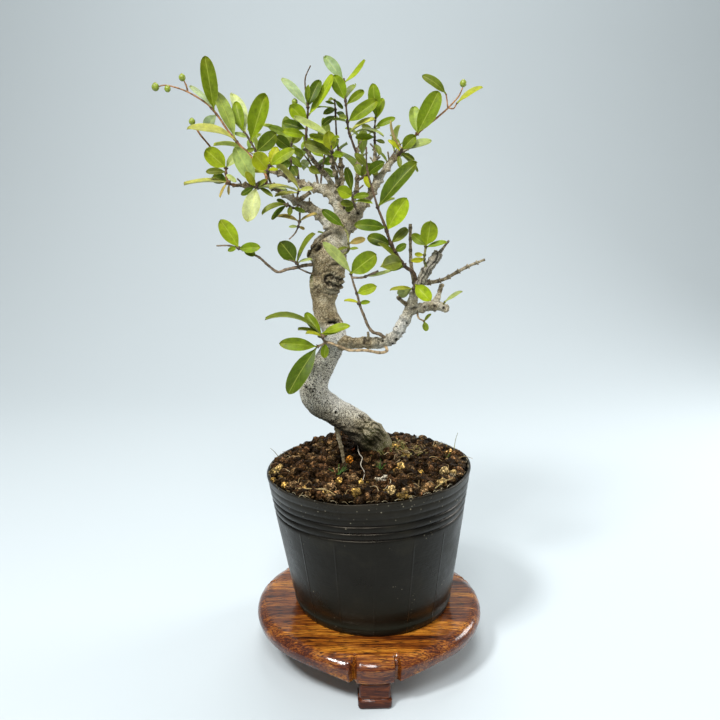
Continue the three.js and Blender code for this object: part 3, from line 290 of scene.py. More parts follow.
SHOOTS = read_shoots("""
low_twig: 1.1 0.8 mdombbyym
route: 5 165 -7, 6.5 161.5 -11, 3 160.3 -13, -4 161.5 -14, -12 161.5 -13, -16 163 -12, -21 165 -11,
  -25 166.5 -11, -26 170 -12
twig: -23 165.8 -11, -28.5 163.4 -12
leaves: -28 163.5 -47.5 165 6.5 -3 0.12, -28 163.2 -43.5 139 9 -5 0.1, -26 169 -54 178 2.4 -4 0.17,
  -25.5 169.5 -34 180.5 5 3, -25.5 170 -12 174 4 -4 0.1, -25.5 169 -15.5 172.3 3 -8,
  -26 169 -38 172.2 1.6 4, -26 168 -34 170.3 1.6 -8, -24.5 165.5 -25 157.5 4 -2
front_left_twig: 1.3 0.7 pmbymp
route: 6.5 167 -8, 3 169.7 -10.5, -0.5 170.8 -12, -3 174 -13, -5 179 -14, -7 184 -15, -8.2 189 -16,
  -10 194.5 -17, -11.5 200 -18
twig: -11 198 -17.5, -6 198 -19, -2.5 199.3 -20, 2 201.3 -21
leaves: -12 200 -25.5 215 5 -2 0.08, -11 200 1 209.5 9 -4 0.04, -8.3 190 1.2 193.8 5 -4 0.06,
  -7.5 185.5 -14.8 186.5 1.6 4, -7.2 185 -2 186 2.2 -3, -4 198.9 9.5 202 1.8 3 -0.04
front_right_twig: 1.3 0.6 bddodoomdyo
route: 21 194 -9.5, 19.5 200 -13, 14.5 204 -15, 10 211 -16.5, 7.5 216 -17.5, 5.5 222 -18.5, 3.5 227 -19.5,
  1.5 232 -20, -0.3 238 -19.5, -2 243.5 -18, -3.8 251 -16, -4 260 -14
leaves: 6.8 220.5 15.5 236.3 9 -4 0.05, 5 221.5 -10 223.5 5.5 -5 0.16, 9 213.5 -3.3 217.8 6 4 0.06,
  9.3 215 16 221.8 4.5 5, 10 211.2 15.6 214.2 3.5 -3, 13.8 204.5 1.5 214.5 3 -5, 12.8 206.5 3.3 203.5 7 -7,
  15 203.5 8 201.7 3 -4, 2.2 232 20 253.3 7.5 -3 0.06, 1.8 231.5 9.7 236 1.6 5, -3.8 251 -9.5 257 3.5 -3
right_sprig: 0.9 0.7 bmmyy
route: 26 202 -11.5, 24.5 206 -15, 24.7 210 -16, 25.2 213.5 -16
leaves: 25.2 213.5 27.2 225.6 8 -3 0.05, 25.2 213.3 18.3 219 4.5 3, 25.2 213 35.3 215.3 2.6 -3 0.05,
  24.3 207.5 17.8 206.2 2.6 -5, 24.5 208.7 19.8 209.4 2.2 2
knee_sprig: 0.9 0.7 ypb
route: 20 190 -9.5, 19.3 192.3 -13, 20.3 194.5 -15
leaves: 19.3 192.5 7.8 191.8 2.2 -4 0.08, 19.5 193 12 189.8 5 1, 20.3 194.5 28 186.5 6.5 -5 0.12
stub_leaf: 0.8 0.6 p
route: 33.8 184 -6, 35 186 -8.5
leaves: 35 186 43.5 191.3 2 -2 0.04
under_sprig: 0.8 0.55 oo
route: 21.5 182.5 -8.5, 22 178.2 -10, 25 176.3 -11
leaves: 25 176.3 26.3 171.3 3 -1, 25 176.5 28.3 180 1.4 -3
low_left_twig: 1.3 0.5 bmmmdop
route: -28 204.5 -2, -34 204 -4, -38 203 -5, -43 202 -6, -47.5 200.8 -7, -52 204 -8, -56.5 208 -9,
  -62 210.5 -10, -66 212.3 -11, -71 213.6 -11.5, -77 213.5 -12
twig: -28 199.8 -3, -32 200.3 -5, -38 203 -5
twig: -37 203.2 -5, -38.5 205.5 -7, -44.5 207.3 -9
leaves: -66 212.3 -74.7 226 7.5 -3 0.04, -65.5 212.2 -55.5 212.8 5 -4, -64 211.5 -58.2 209 3.5 -7,
  -67 212.5 -71.5 211 2.4 -3, -38.5 205.3 -46 215.5 8.5 -2 0.05, -38 205 -29 219.5 2.6 -5 0.08,
  -38 204.7 -30.5 206.8 1.6 -5
fork_leaf: 0.8 0.6 dtoo
route: -15.5 209 -6, -12.8 211 -11, -12.6 214.5 -12, -13 219 -11.5, -15 222.8 -11
leaves: -14.8 222.5 -25.3 230.7 4.5 -1 0.06, -12.6 214.5 -4.5 216.8 3.2 2, -12.7 212 -7.8 212.2 1.5 -3,
  -12.8 212.5 -18 211.3 1.5 -3
hanging_twig: 0.8 0.45 tptt
route: -35 233 -4, -36 230 -8, -36.2 226 -9, -37 222.7 -9.5, -38.6 219.5 -10, -41.5 216.6 -10.5
leaves: -36.5 224.8 -47.3 227.8 2.4 3 0.08, -36.9 223 -41.5 222.6 1.5 -3, -36.3 225.3 -27.8 228.7 1.5 -3,
  -36.8 223 -34 221.5 1.5 2
left_under: 0.9 0.6 odood
route: -36 233.5 -4, -38.5 231.5 -8, -41.5 232.8 -10, -44 233.6 -11
leaves: -42.5 233 -54.5 228.8 3 -4 0.16, -42 232.8 -49.6 226 2.8 2, -40.5 232.3 -41 228 2.6 -3,
  -42 233 -47 235.5 2 4, -39 231.8 -33.5 229.5 2.2 -4
left_middle: 1 0.8 pwopdyo
route: -55 242.3 -8, -56.3 241.2 -12, -57.3 242 -15
leaves: -57.3 242 -66.3 260 8 -2 0.05, -56.8 241.3 -61.5 225 8 -4 0.06, -56 241.2 -49 236.8 2.2 -2,
  -56.3 241.3 -42 240 2 -3, -57 241.7 -64 237.8 3 3, -57 242 -61.5 248.7 3.5 -6,
  -56 241.5 -51.5 244.8 2.4 -6
left_pale: 0.8 0.6 llll
route: -37.5 235 -4.5, -37 238 -10, -36.3 240 -12
leaves: -36.5 239.5 -50.5 241.2 2.4 -2, -36.8 238.5 -48 237 2.4 -4, -36.3 240 -47.8 252.8 2.8 -2,
  -36.3 240 -29.5 241 2.2 -1
left_yellow: 1 0.8 ybyyyo
route: -49.2 241.6 -7.4, -50.7 246 -12, -51 249.3 -15, -50 252 -16
leaves: -51 249.5 -57.5 257 8 -3 0.04, -50.2 251.5 -38.2 259 5 -3, -50 252 -46.3 260 4 4,
  -51 249 -46 249.2 1.8 -4, -51.3 247.5 -61 248.3 2.4 -1, -50.2 251 -43.5 250.5 4.5 6
left_tip: 1 0.8 ldobpptt
route: -65 242.2 -9, -69.5 243 -12, -71 246.5 -12, -71 250.3 -11
twig: -71 250.3 -11, -75 256 -6, -79.2 261.5 -4, -82.5 265.5 -5, -86 271.3 -6
leaves: -70.5 244 -91.5 243 2.6 -3 0.05, -70.2 243.5 -77.5 246.3 5.5 4, -71 248 -80.7 248.5 3.2 -3 0.1,
  -71.2 250.5 -80.3 259 8 -2 0.05, -71 250 -65 257.5 4 3, -71 247.5 -66.3 243.8 2.4 -3,
  -70 243.2 -74.3 236.5 1.6 -2, -69.5 243 -70 237.8 1.4 1
berries: -86.2 271.5 -6 1.5
long_shoot: 1.2 0.5 mglss
route: -52 242.2 -8, -52 247 -6, -55 251 -5, -59.5 256.3 -4, -63.5 260.3 -3, -65.5 262.5 -3, -69.5 267.5 -2,
  -73.5 273.5 -1, -78 278.8 0, -83 282.3 1, -88 285 2, -93 286.8 3, -98 287.8 4, -101.5 287.2 4
twig: -87.5 284.7 2, -88.3 288 2, -89.7 290.8 1.5
leaves: -76 277 -79 300.7 7 -4 0.06, -66 263 -74.5 285 6 5 0.06, -65.5 262.6 -88.8 268.2 5 -5 0.14,
  -76.5 277.5 -86.8 287.2 3 5, -74 274.3 -80 268 6 6 0.1
berries: -102.6 287 4 1.8, -97 286.2 3.5 1.5, -89.9 291.2 1.5 1.6
crown_left: 1.1 0.7 mdmwppo
route: -50 249 9.2, -54 254 6, -57 259 4, -59.5 263.5 3, -62 267 3
leaves: -59 262.8 -51.3 284.3 9 -3 0.05, -56 258.5 -46.3 266.5 8 -5 0.05, -61.8 267 -65.3 280.5 5.5 -3,
  -61 266 -67 284 6 8 0.08, -60.5 265 -77.2 281.6 4 -6 0.05, -60 264 -66.5 266.3 2.2 -3,
  -56.5 258.5 -61 258 2.4 -6
crown_back_left: 1.1 0.7 ddogmbd
route: -41 246 7.3, -40 253 10, -40 259 10, -38.7 264 9
leaves: -40 253 -46.8 250.3 5.5 -7, -40 259 -47.5 264.8 6 -6, -39.5 262 -34 265.8 4 -5,
  -38.7 264 -50.3 269.3 4 -6 0.08, -40 256 -35 250.5 3 5, -40 259 -34 256 4 5, -40 252 -37 246.5 3.5 -3
top_left: 1 0.45 sdbbdbm
route: -32.3 259.5 -5.7, -32.5 265 -7, -32 271 -7, -31.5 278 -7, -32.4 285 -7, -32.5 291 -6.5, -30 296.5 -6
stalk: -31.8 273 -7, -35 277.5 -5.5, -37.5 280.2 -5
leaves: -31.6 277.5 -43.5 291 4.5 3 0.04, -31.6 277.5 -25.7 290 5 4, -31.8 275 -20 292.7 5 -3 -0.06,
  -32 271.5 -40 279 7 -3 0.05, -32.3 268 -43.2 271.2 4.6 5, -32.5 265.5 -43.7 267.2 4 -5,
  -32.4 280 -31 288 2.6 -5
berries: -37.6 280.4 -5 1.4
crown_front: 1 0.8 poymmb
route: -20.1 254.5 -11.5, -20.3 258 -15, -20.8 263.5 -17
leaves: -20.8 263.5 -38.3 273 4 1 0.05, -20.1 256.5 -33.5 261.8 5.5 4 0.06, -20.2 257.5 -22 267.5 6 -4,
  -20.2 257 -15 255.8 3 -5, -20.7 262 -17 264.5 2.6 -3, -20.5 261 -31 265.5 3.4 -4
top_middle: 0.9 0.55 dodddod
route: -17 256.5 11, -18 264 9, -18.4 271 8, -18.6 277 7, -19 281.5 6.5
leaves: -18.7 279.3 -23.3 280.5 1.5 -2, -18.9 281 -21.8 281.3 2 2, -18.9 281 -15 277.3 2 2,
  -18.6 276.5 -24.3 275 3 -3 0.2, -18.5 274 -24.8 270 3.5 3, -18.7 277 -28 277.8 1.3 5,
  -18.5 276 -14.3 273.8 3 5
top_right: 1 0.6 msbmmlpgdg
route: -8.3 256 6, -10.5 262 3.5, -12.5 268 2, -13.2 275 0.5, -14 283 0, -14.5 291 0
leaves: -13.7 280 -19.3 292.3 6.5 -4 0.05, -14.4 290 -23.5 300.6 5.5 1, -14.3 288.5 -4.7 299 3 -2 -0.08,
  -13.6 279.3 -5.2 285.4 4 4, -12.9 271.5 1.2 281.3 6.5 -3 0.08, -11.8 265.8 0 272.8 2.8 -6,
  -11.5 265 4.2 265 2 1 0.2, -13.8 281 -9.3 287.5 4 6, -13 272 -20 272.3 1.6 3,
  -13.1 274 -16.8 273.7 2.5 -4
top_far_right: 0.9 0.6 mbmbooo
route: 0.2 257 4.8, 0 263 5, 0 269 4, 0.5 275 3
leaves: 0.4 273.5 -1 288.7 6 -2, 0.3 272.5 3.8 282 4.5 3, 0 268.5 9.7 273.2 3.4 -3 0.1,
  -0.2 265 -9.2 264.3 3.6 -4 0.06, 0 263.5 4.7 262 2 3, 0 266 -6 270 3 6, 0 262 2.2 256.5 2.8 -3
right_knee: 0.8 0.6 mptyooo
route: 10.5 255.5 -6, 12.3 257.3 -9.5, 13 259.5 -11
leaves: 12.8 259 19.3 265.3 5.5 1 0.1, 12.8 258.5 27 262.7 4 -3, 13 259.3 7.7 272 1.6 -3 -0.14,
  12.5 258 6.3 263.2 2.2 1, 12.2 257.3 19 254 2.2 2, 12 256.8 20.5 248.5 2.6 7, 11.5 256.5 12 250.5 2.4 -2
right_tip: 0.95 0.5 oymg
route: 16.5 262 -7.2, 20 266 -8, 26 270.7 -8, 31 274.7 -8, 34.5 277.8 -8, 39 282.6 -7.5, 41 286.7 -7
twig: 34.3 277.6 -8, 33.8 281 -8, 33.3 284 -8
twig: 34.5 277.7 -8, 37 277.5 -9, 38.6 280 -10
leaves: 33.3 284 22 292.2 4.2 -1 0.12, 38.6 280 50.2 287.2 3 -2 0.06, 20.5 266.4 29.8 285.2 8.5 -3 0.05,
  20.2 266.2 18.3 278.2 5.5 4
berries: 41.2 288.6 -7 1.6
fork_spray: 0.9 0.7 bbmdoo
route: -8.5 230 -2, -9.5 232.5 -8, -10.3 235.5 -10, -11 239 -11
leaves: -10.8 237 -18 240.5 6.2 -4, -10.2 235 -1 233.9 2 -3, -10.5 236 -2.5 237.8 3 2,
  -11 239 -13.6 250.5 4 3, -9.8 233.5 -16.5 234 3.4 -2, -9.5 232.8 -14 230.3 3 0
inner_right: 0.9 0.6 odoyo
route: -8.4 244 5.5, -5.5 246 1, -2.5 248.5 -3
leaves: -6 245.8 -0.8 252.5 6 -6, -3 248 4.5 253 5 -6, -5.5 246 -9.3 252 4 -5, -4.5 246.8 -2.5 241.2 3 -3,
  -2.5 248.5 1.5 248 4 3
inner_left: 0.9 0.6 odbddy
route: -26 241 5, -25.5 246 8, -24.5 252 9, -23.5 258 8
leaves: -25.3 248 -31 250.5 4 4, -24.5 252 -17.5 256 4.5 -5, -24 255 -30 260.5 5 4,
  -23.5 258 -17 263.5 4.5 2, -25 250 -19 246 3.5 -4, -23.6 257.5 -25.5 267.5 5 3
back_left: 1.1 0.6 3 17
route: -44 247 8.2, -49 251 17, -55 255 27, -60 258 36
back_left_inner: 1.1 0.6 3 15
route: -36.5 243.7 6, -37 250 13, -40 257 19, -42 264 24
back_middle: 1.1 0.6 3 16
route: -27 241 4.5, -28 247 16, -31 253 28, -35 258 39
back_high: 1 0.6 3 15
route: -15.8 246 10, -19 253 19, -22.5 260 27, -25 266 34
back_right: 1.1 0.6 3 16
route: -9.3 238 4.8, -8 246 15, -6 254 24, -5.5 262 31
back_far_right: 0.9 0.5 3 12
route: 3.5 247.5 -4, 5.5 252 5, 9 257 14, 12 261 22
back_trunk: 1 0.5 3 11
route: -21 209 5, -20 214 15, -19 220 24, -18 224 31
""")

print("shoots:", len(SHOOTS))

# %% [markdown]
# ## How the plant grows from its notes
# A route has only a few points, so it is first drawn as a smooth run through them. Along a run, two
# directions across it are carried from point to point without twisting, for rings and for pairs of
# leaves. A leaf that looks narrow is a normal leaf that has rolled on its own axis, so its real width
# stays that of a privet leaf. Where two leaves would touch, one swings nearer or further along the line
# of sight, which the front view doesn't show. These are the rules by which the solids were made too.


# %% Runs and directions
def draws(seed):
    """Seeded draws between 0 and 1, so that every run grows the same plant."""
    state = seed
    while True:
        state = (state * 16807) % 2147483647
        yield state / 2147483647


def place(point):
    """Slides a point, known as seen from the front, along the line of sight to its depth."""
    across, up, depth = point[0], point[1], point[2]
    slide = 1 - depth / EYE[1]
    return np.array([EYE[0] + (across - EYE[0]) * slide, depth, EYE[2] + (up - EYE[2]) * slide])


def to_row(points):
    """From the notes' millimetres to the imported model's metres."""
    return (np.asarray(points, float) + TO_ROW) / 1000


def smooth(route, steps):
    """A smooth run through a route, with every number of its points carried along."""
    route = np.array(route, float)
    known = np.vstack([2 * route[0] - route[1], route, 2 * route[-1] - route[-2]])
    run = []
    for i in range(1, len(known) - 2):
        a, b, c, d = known[i - 1:i + 3]
        for j in range(steps):
            t = j / steps
            run.append(b + 0.5 * t * (c - a + t * (2 * a - 5 * b + 4 * c - d + t * (3 * (b - c) + d - a))))
    run.append(route[-1])
    return np.array(run)


def taper(route, thick):
    """Gives each point of a stem's route its radius, from root to tip."""
    last = len(route) - 1
    return [[*point, thick[0] + (thick[1] - thick[0]) * i / last] for i, point in enumerate(route)]


def unit(vector):
    return vector / np.linalg.norm(vector)


def directions(points):
    """Ahead, side and across at each point of a run, without twist."""
    last = len(points) - 1
    side = np.array([1, 0.2, 0.1])
    found = []
    for i in range(last + 1):
        ahead = unit(points[min(i + 1, last)] - points[max(i - 1, 0)])
        side = unit(side - ahead * side.dot(ahead))
        found.append((ahead, side, np.cross(ahead, side)))
    return found


def walked_along(points):
    """How far along a line of points each one lies."""
    return np.append(0, np.cumsum(np.linalg.norm(np.diff(points, axis=0), axis=1)))


trunk_run = smooth(LIMBS["trunk"], 4)
print("points along the trunk:", len(trunk_run))


# %% Leaves in their places
SLENDER = 0.3
CLEAR_OUTLINE = [[0, 0.13, 0.38, 0.66, 0.88, 1], [0, 0.22, 0.88, 1, 0.66, 0]]


def blade_frame(leaf):
    """Where a blade's midrib, sides and faces lie, from its root, tip, width and arch."""
    ahead = leaf["tip"] - leaf["root"]
    length = np.linalg.norm(ahead)
    ahead = ahead / length
    facing = np.array([0, 0.25, 1] if leaf["up"] else [0, -0.978, 0.209])
    facing = unit(facing - ahead * facing.dot(ahead))
    edge = np.cross(ahead, facing)
    full = max(leaf["width"], SLENDER * length)
    roll = 0 if leaf["up"] else math.acos(min(1, leaf["width"] / full))
    side = 1 if edge[2] > 0 else -1
    face = facing * math.cos(roll) + edge * side * math.sin(roll)
    return {"ahead": ahead, "face": face, "across": np.cross(ahead, face), "length": length,
            "half": full / 2}


def rib(leaf, lay, t):
    """Points of the midrib at places t along it, as rows."""
    t = np.asarray(t, float).reshape(-1, 1)
    bow = lay["face"] * lay["length"] * leaf["arch"] * 4 * t * (1 - t)
    return leaf["root"] + lay["ahead"] * lay["length"] * t + bow


def leaf_samples(leaf):
    """Forty points of a blade, each with its place along the blade."""
    lay = blade_frame(leaf)
    t = np.repeat(np.arange(1, 11) / 10, 4)
    hands = np.tile([-0.9, -0.3, 0.3, 0.9], 10)
    wide = hands * lay["half"] * np.interp(t, *CLEAR_OUTLINE)
    return rib(leaf, lay, t) + wide.reshape(-1, 1) * lay["across"], t


def room(leaf, node, held):
    """How clear a leaf is of all that is held: 0 or more is clear."""
    points, t = leaf_samples(leaf)
    own = held["node"] == node
    away = np.linalg.norm(points[:, None, :] - held["at"][None, :, :], axis=2)
    away = away - np.where(own, 0.7, 1.0) * held["reach"]
    along = held["along"]
    skip_own = own[None, :] & ((along < 0.4)[None, :] | (t < 0.4)[:, None])
    skip_other = ~own[None, :] & ((along < 0)[None, :] & (t < 0.15)[:, None])
    away = np.where(skip_own | skip_other, 99.0, away).ravel()
    tight = np.flatnonzero(away < -3)
    return away[tight[0]] if len(tight) else min(99.0, away.min())


def hold(held, points, reach, node, along):
    """Notes that these points are taken."""
    count = len(points)
    held["at"] = np.vstack([held["at"], points])
    held["reach"] = np.append(held["reach"], np.broadcast_to(reach, count))
    held["node"] = np.append(held["node"], np.full(count, node))
    held["along"] = np.append(held["along"], np.broadcast_to(along, count))


def bend_clear(leaf, node, held):
    """Swings a leaf's tip nearer or further along the line of sight until it is clear."""
    best, most = None, -99
    for swing in (0, 3, -3, 6, -6, 9, -9, 12, -12):
        attempt = dict(leaf, tip=leaf["tip"] + (leaf["tip"] - EYE) * (swing / -EYE[1]))
        space = room(attempt, node, held)
        if space > most:
            best, most = attempt, space
        if space >= 0:
            break
    points, t = leaf_samples(best)
    hold(held, points, 2.1, node, t)
    return best


def seen_leaf(noted, runs, tone):
    """A leaf placed as it was seen: its root is on the nearest point of its shoot."""
    x0, z0, x1, z1, width, depth, arch = (*noted, 0.08)[:7]
    near = min(runs, key=lambda point: math.hypot(point[0] - x0, point[1] - z0))
    return {"root": place(near), "tip": place([x1, z1, near[2] + depth]), "width": width,
            "arch": arch, "up": False, "tone": tone}


def paired_leaves(shoot, draw):
    """Opposite pairs of leaves up a shoot, each pair turned a quarter from the last."""
    run = smooth(shoot["route"], 6)
    points = np.array([place(point) for point in run])
    turns = directions(points)
    found = []
    for pair in range(shoot["pairs"]):
        i = math.floor((len(run) - 1) * (0.4 + 0.6 * pair / (shoot["pairs"] - 1)) + 0.5)
        ahead, side, across = turns[i]
        for hand in (-1, 1):
            length = shoot["blade"] * (0.75 + 0.4 * next(draw))
            lead = 0.55 + 0.35 * next(draw)
            out = (across if pair % 2 else side) * hand
            way = unit(out + ahead * lead + np.array([0, 0, 0.25]))
            width = length * (0.3 + 0.08 * next(draw))
            found.append({"root": points[i], "tip": points[i] + way * length, "width": width,
                          "arch": 0.1, "up": True, "tone": "mdmobm"[len(found) % 6]})
    return found


print("widest part of a blade as noted:", max(CLEAR_OUTLINE[1]))


# %% Grow the plant
def grow():
    """All stems take their room first, then each shoot's leaves are bent clear."""
    held = {"at": np.empty((0, 3)), "reach": np.empty(0), "node": np.empty(0, int), "along": np.empty(0)}
    for route in LIMBS.values():
        run = smooth(route, 4)
        hold(held, np.array([place(point) for point in run]), run[:, 3] + 1.3, -1, -1.0)
    grown = {}
    for number, (name, shoot) in enumerate(SHOOTS.items()):
        slim = [shoot["thick"][0] * 0.6, shoot["thick"][1]]
        stems = [taper(shoot["route"], shoot["thick"])]
        stems += [taper(twig, slim) for twig in shoot["twigs"] + shoot["stalks"]]
        for stem in stems:
            run = smooth(stem, 4)
            hold(held, np.array([place(point) for point in run]), run[:, 3] + 1.3, number, -1.0)
        grown[name] = {"stems": stems, "leaves": [], "berries": shoot["berries"]}
    draw = draws(7)
    for number, (name, shoot) in enumerate(SHOOTS.items()):
        runs = np.vstack([smooth(stem, 4) for stem in grown[name]["stems"]])
        if "pairs" in shoot:
            wanted = paired_leaves(shoot, draw)
        else:
            wanted = [seen_leaf(leaf, runs, tone) for leaf, tone in zip(shoot["leaves"], shoot["tones"])]
        grown[name]["leaves"] = [bend_clear(leaf, number, held) for leaf in wanted]
    return grown


plant = grow()
print("leaves:", sum(len(shoot["leaves"]) for shoot in plant.values()))

# %% [markdown]
# ## Working on a mesh as by hand
# Every piece below starts as a primitive or a drawn line and is shaped by operators. An operator acts on
# all that is selected, and loading the model leaves its nodes selected, so each step first clears the
# selection. When a form needs a rule for every point, such as a leaning pot, its points are read as
# rows of numbers, moved together, and written back.


# %% Helpers for meshes
def rise(value, start, width):
    """Goes from 0 to 1 over a width from a start. A negative width makes it fall instead."""
    return np.clip((value - start) / width, 0, 1)


def hump(value, width):
    """1 where a value is 0, and less and less on both sides of it."""
    return np.exp(-(value / width) ** 2)


def noise_at(rows, scale, shift=Vector()):
    """Smooth noise at each point."""
    return np.array([noise.noise(Vector(row) * scale + shift) for row in rows])


def onward(x, y, way, far):
    """The place at a distance in a direction, as seen from above."""
    return x + far * math.cos(way), y + far * math.sin(way)


def only(piece):
    """Makes one piece the only selected and active one."""
    bpy.ops.object.select_all(action="DESELECT")
    piece.select_set(True)
    bpy.context.view_layer.objects.active = piece
    return piece


def edit_all():
    """Starts editing with every point selected."""
    bpy.ops.object.mode_set(mode="EDIT")
    bpy.ops.mesh.select_all(action="SELECT")


def without_maps(piece):
    """Takes off the maps that an operator gave a piece."""
    for layer in list(piece.data.uv_layers):
        piece.data.uv_layers.remove(layer)
    return piece


def ball(middle, radius, segments):
    """A ball, its middle in metres."""
    bpy.ops.object.select_all(action="DESELECT")
    bpy.ops.mesh.primitive_uv_sphere_add(segments=segments, ring_count=12, radius=radius, location=middle)
    bpy.ops.object.transform_apply(location=True)
    return without_maps(bpy.context.object)


def line(name, points, radii=None, round_steps=1):
    """A line through points in metres: drawn as a path, given a round bevel, and made a mesh."""
    bpy.ops.object.select_all(action="DESELECT")
    bpy.ops.curve.primitive_nurbs_path_add()
    path = bpy.context.object
    path.name = name
    path.data.splines.clear()
    spline = path.data.splines.new("POLY")
    spline.points.add(len(points) - 1)
    for i, point in enumerate(points):
        spline.points[i].co = (*point, 1.0)
        spline.points[i].radius = 1.0 if radii is None else radii[i]
    if radii is not None:
        path.data.bevel_depth = 1.0
        path.data.bevel_resolution = round_steps
        path.data.use_fill_caps = True
    bpy.ops.object.convert(target="MESH")
    return without_maps(bpy.context.object)


def close_up(piece, distance=1e-6):
    """Merges doubled points and turns all faces outwards."""
    only(piece)
    edit_all()
    bpy.ops.mesh.remove_doubles(threshold=distance)
    bpy.ops.mesh.normals_make_consistent(inside=False)
    bpy.ops.object.mode_set(mode="OBJECT")
    return piece


def corners(piece):
    """A mesh's points as rows of x, y, z in metres."""
    rows = np.zeros(len(piece.data.vertices) * 3)
    piece.data.vertices.foreach_get("co", rows)
    return rows.reshape(-1, 3)


def move_to(piece, rows):
    """Writes the points of a mesh back."""
    piece.data.vertices.foreach_set("co", rows.ravel())
    piece.data.update()


def normals_of(piece):
    rows = np.zeros(len(piece.data.vertices) * 3)
    piece.data.vertex_normals.foreach_get("vector", rows)
    return rows.reshape(-1, 3)


def turned(name, profile, steps):
    """Spins a profile of [radius, height] in mm about the upright axis."""
    piece = line(name, [(r / 1000, 0, h / 1000) for r, h in profile])
    edit_all()
    bpy.ops.mesh.spin(steps=steps, angle=2 * math.pi, center=(0, 0, 0), axis=(0, 0, 1))
    bpy.ops.object.mode_set(mode="OBJECT")
    return close_up(piece)


def apply_modifier(piece, kind, **settings):
    """Adds a modifier, sets it and applies it at once."""
    only(piece)
    modifier = piece.modifiers.new(kind.lower(), kind)
    for key, value in settings.items():
        setattr(modifier, key, value)
    bpy.ops.object.modifier_apply(modifier=modifier.name)


def joined(name, pieces):
    """Joins pieces into one mesh."""
    bpy.ops.object.select_all(action="DESELECT")
    for piece in pieces:
        piece.select_set(True)
    bpy.context.view_layer.objects.active = pieces[0]
    if len(pieces) > 1:
        bpy.ops.object.join()
    pieces[0].name = name
    pieces[0].data.name = name
    return pieces[0]


def paint(piece, name, colours):
    """Stores one colour a point, in linear light, for a material to read."""
    layer = piece.data.color_attributes.new(name, "FLOAT_COLOR", "POINT")
    layer.data.foreach_set("color", np.asarray(colours, float).ravel())


def soften(piece, angle=40):
    """Smooth shading, with edges sharper than an angle kept."""
    only(piece)
    bpy.ops.object.shade_smooth_by_angle(angle=math.radians(angle))


def fit(piece, slot, *nodes):
    """Seats a finished piece: it stands for its nodes, which it hides, and hangs from the root. Its slot is
    not used.
    """
    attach(piece, "root")
    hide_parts(*nodes)
    piece.data.calc_loop_triangles()
    print(piece.name, "triangles:", len(piece.data.loop_triangles))
    return piece


print("helpers ready")

# %% [markdown]
# ## Lacquered hardwood for the stand
# Such stands are turned and carved from a dense reddish hardwood and finished with several coats of clear
# lacquer. The eye gets three things from it: straight dark grain lines a millimetre or two apart,
# golden streaks between them where the wood is lighter, and a hard gloss on top. Towards the rounded
# edge the stain is darker. The grain is noise that is stretched along the board, and the gloss is a
# clear coat, so the wood below stays soft while the reflections are sharp.


# %% Make the lacquered hardwood
STAND_MIDDLE = (0.02185, 0.00045)
STAND_TURN = 2.3


def lacquered_hardwood(name, tones, edge_from, coat):
    """Straight grained reddish hardwood under clear lacquer, darker beyond a radius."""
    wood, add = new_material(name, {"Roughness": 0.5, "Specular IOR Level": 0.1, "Coat Weight": coat,
                                    "Coat Roughness": 0.13, "Coat IOR": 1.55})
    where = add("TexCoord")
    # Broad bands of colour are about 70 mm along the grain and 9 mm across it, and fine lines 0.7 mm.
    long_way = add("Mapping", {"Scale": (14, 110, 110)}, {"Vector": where})
    bands = add("TexNoise", {"Scale": 1.0, "Detail": 2.0, "Distortion": 0.6}, {"Vector": long_way})
    line_way = add("Mapping", {"Scale": (52, 1450, 1450)}, {"Vector": where})
    fine = add("TexNoise", {"Scale": 1.0, "Detail": 5.0, "Roughness": 0.68, "Distortion": 0.3},
               {"Vector": line_way})
    half = add("Math", {"operation": "MULTIPLY", 1: 0.55}, {0: fine})
    figure = add("Math", {"operation": "MULTIPLY_ADD", 1: 0.45}, {0: bands, 2: half})
    grain = add("ValToRGB", {"ramp": tones}, {"Fac": figure})
    # Open pores are dark dashes about 5 mm long. Real ones are 0.3 mm wide, and these 0.5 mm, to show.
    pore_way = add("Mapping", {"Scale": (180, 2000, 2000)}, {"Vector": where})
    pores = add("TexNoise", {"Scale": 1.0, "Detail": 3.0}, {"Vector": pore_way})
    dashes = add("MapRange", {"From Min": 0.52, "From Max": 0.58, "To Max": 0.85}, {"Value": pores})
    pored = add("Mix", {7: "#1f0a04"}, {0: dashes, 6: grain})
    flat = add("VectorMath", {"operation": "MULTIPLY", 1: (1, 1, 0)}, {0: where})
    out = add("VectorMath", {"operation": "DISTANCE", 1: (*STAND_MIDDLE, 0)}, {0: flat})
    rim = add("MapRange", {"From Min": edge_from, "From Max": edge_from + 0.005, "To Max": 0.5},
              {"Value": (out, "Value")})
    stained = add("Mix", {7: "#4a1708"}, {0: rim, 6: pored})
    # Brushed lacquer lies in soft waves of 5 mm, which break up its reflections.
    waves = add("TexNoise", {"Scale": 190.0, "Detail": 2.0}, {"Vector": where})
    skin = add("Math", {"operation": "MULTIPLY_ADD", 1: 0.12}, {0: pores, 2: waves})
    relief = add("Bump", {"Strength": 0.4, "Distance": 0.0006}, {"Height": skin})
    add("shader", {}, {"Base Color": stained, "Normal": relief, "Coat Normal": relief})
    return wood


BOARD_TONES = [(0.38, "#1e0a04"), (0.45, "#5a290a"), (0.52, "#914f14"), (0.60, "#c9842c")]
FOOT_TONES = [(0.39, "#090302"), (0.46, "#1f0a05"), (0.53, "#48200c"), (0.61, "#8a4718")]
board_wood = lacquered_hardwood("lacquered hardwood", BOARD_TONES, 0.0552, 0.75)
foot_wood = lacquered_hardwood("dark lacquered hardwood", FOOT_TONES, 0.0545, 0.4)
print("wood materials:", board_wood.name, "and", foot_wood.name)

# %% [markdown]
# ## The stand's board
# The board is a disc with a rounded nosing. Under its edge runs an apron, which is shallow at the sides
# and deepens to five millimetres where it meets a foot. On each side of a foot a groove is carved into
# the edge, so the part between the two grooves swells like a knee. It could be built from a disc and
# three carved blocks, but the joins would show in the lacquer. So one profile with its apron is turned
# all the way round, and then the apron's depth and the edge's radius are changed by angle.

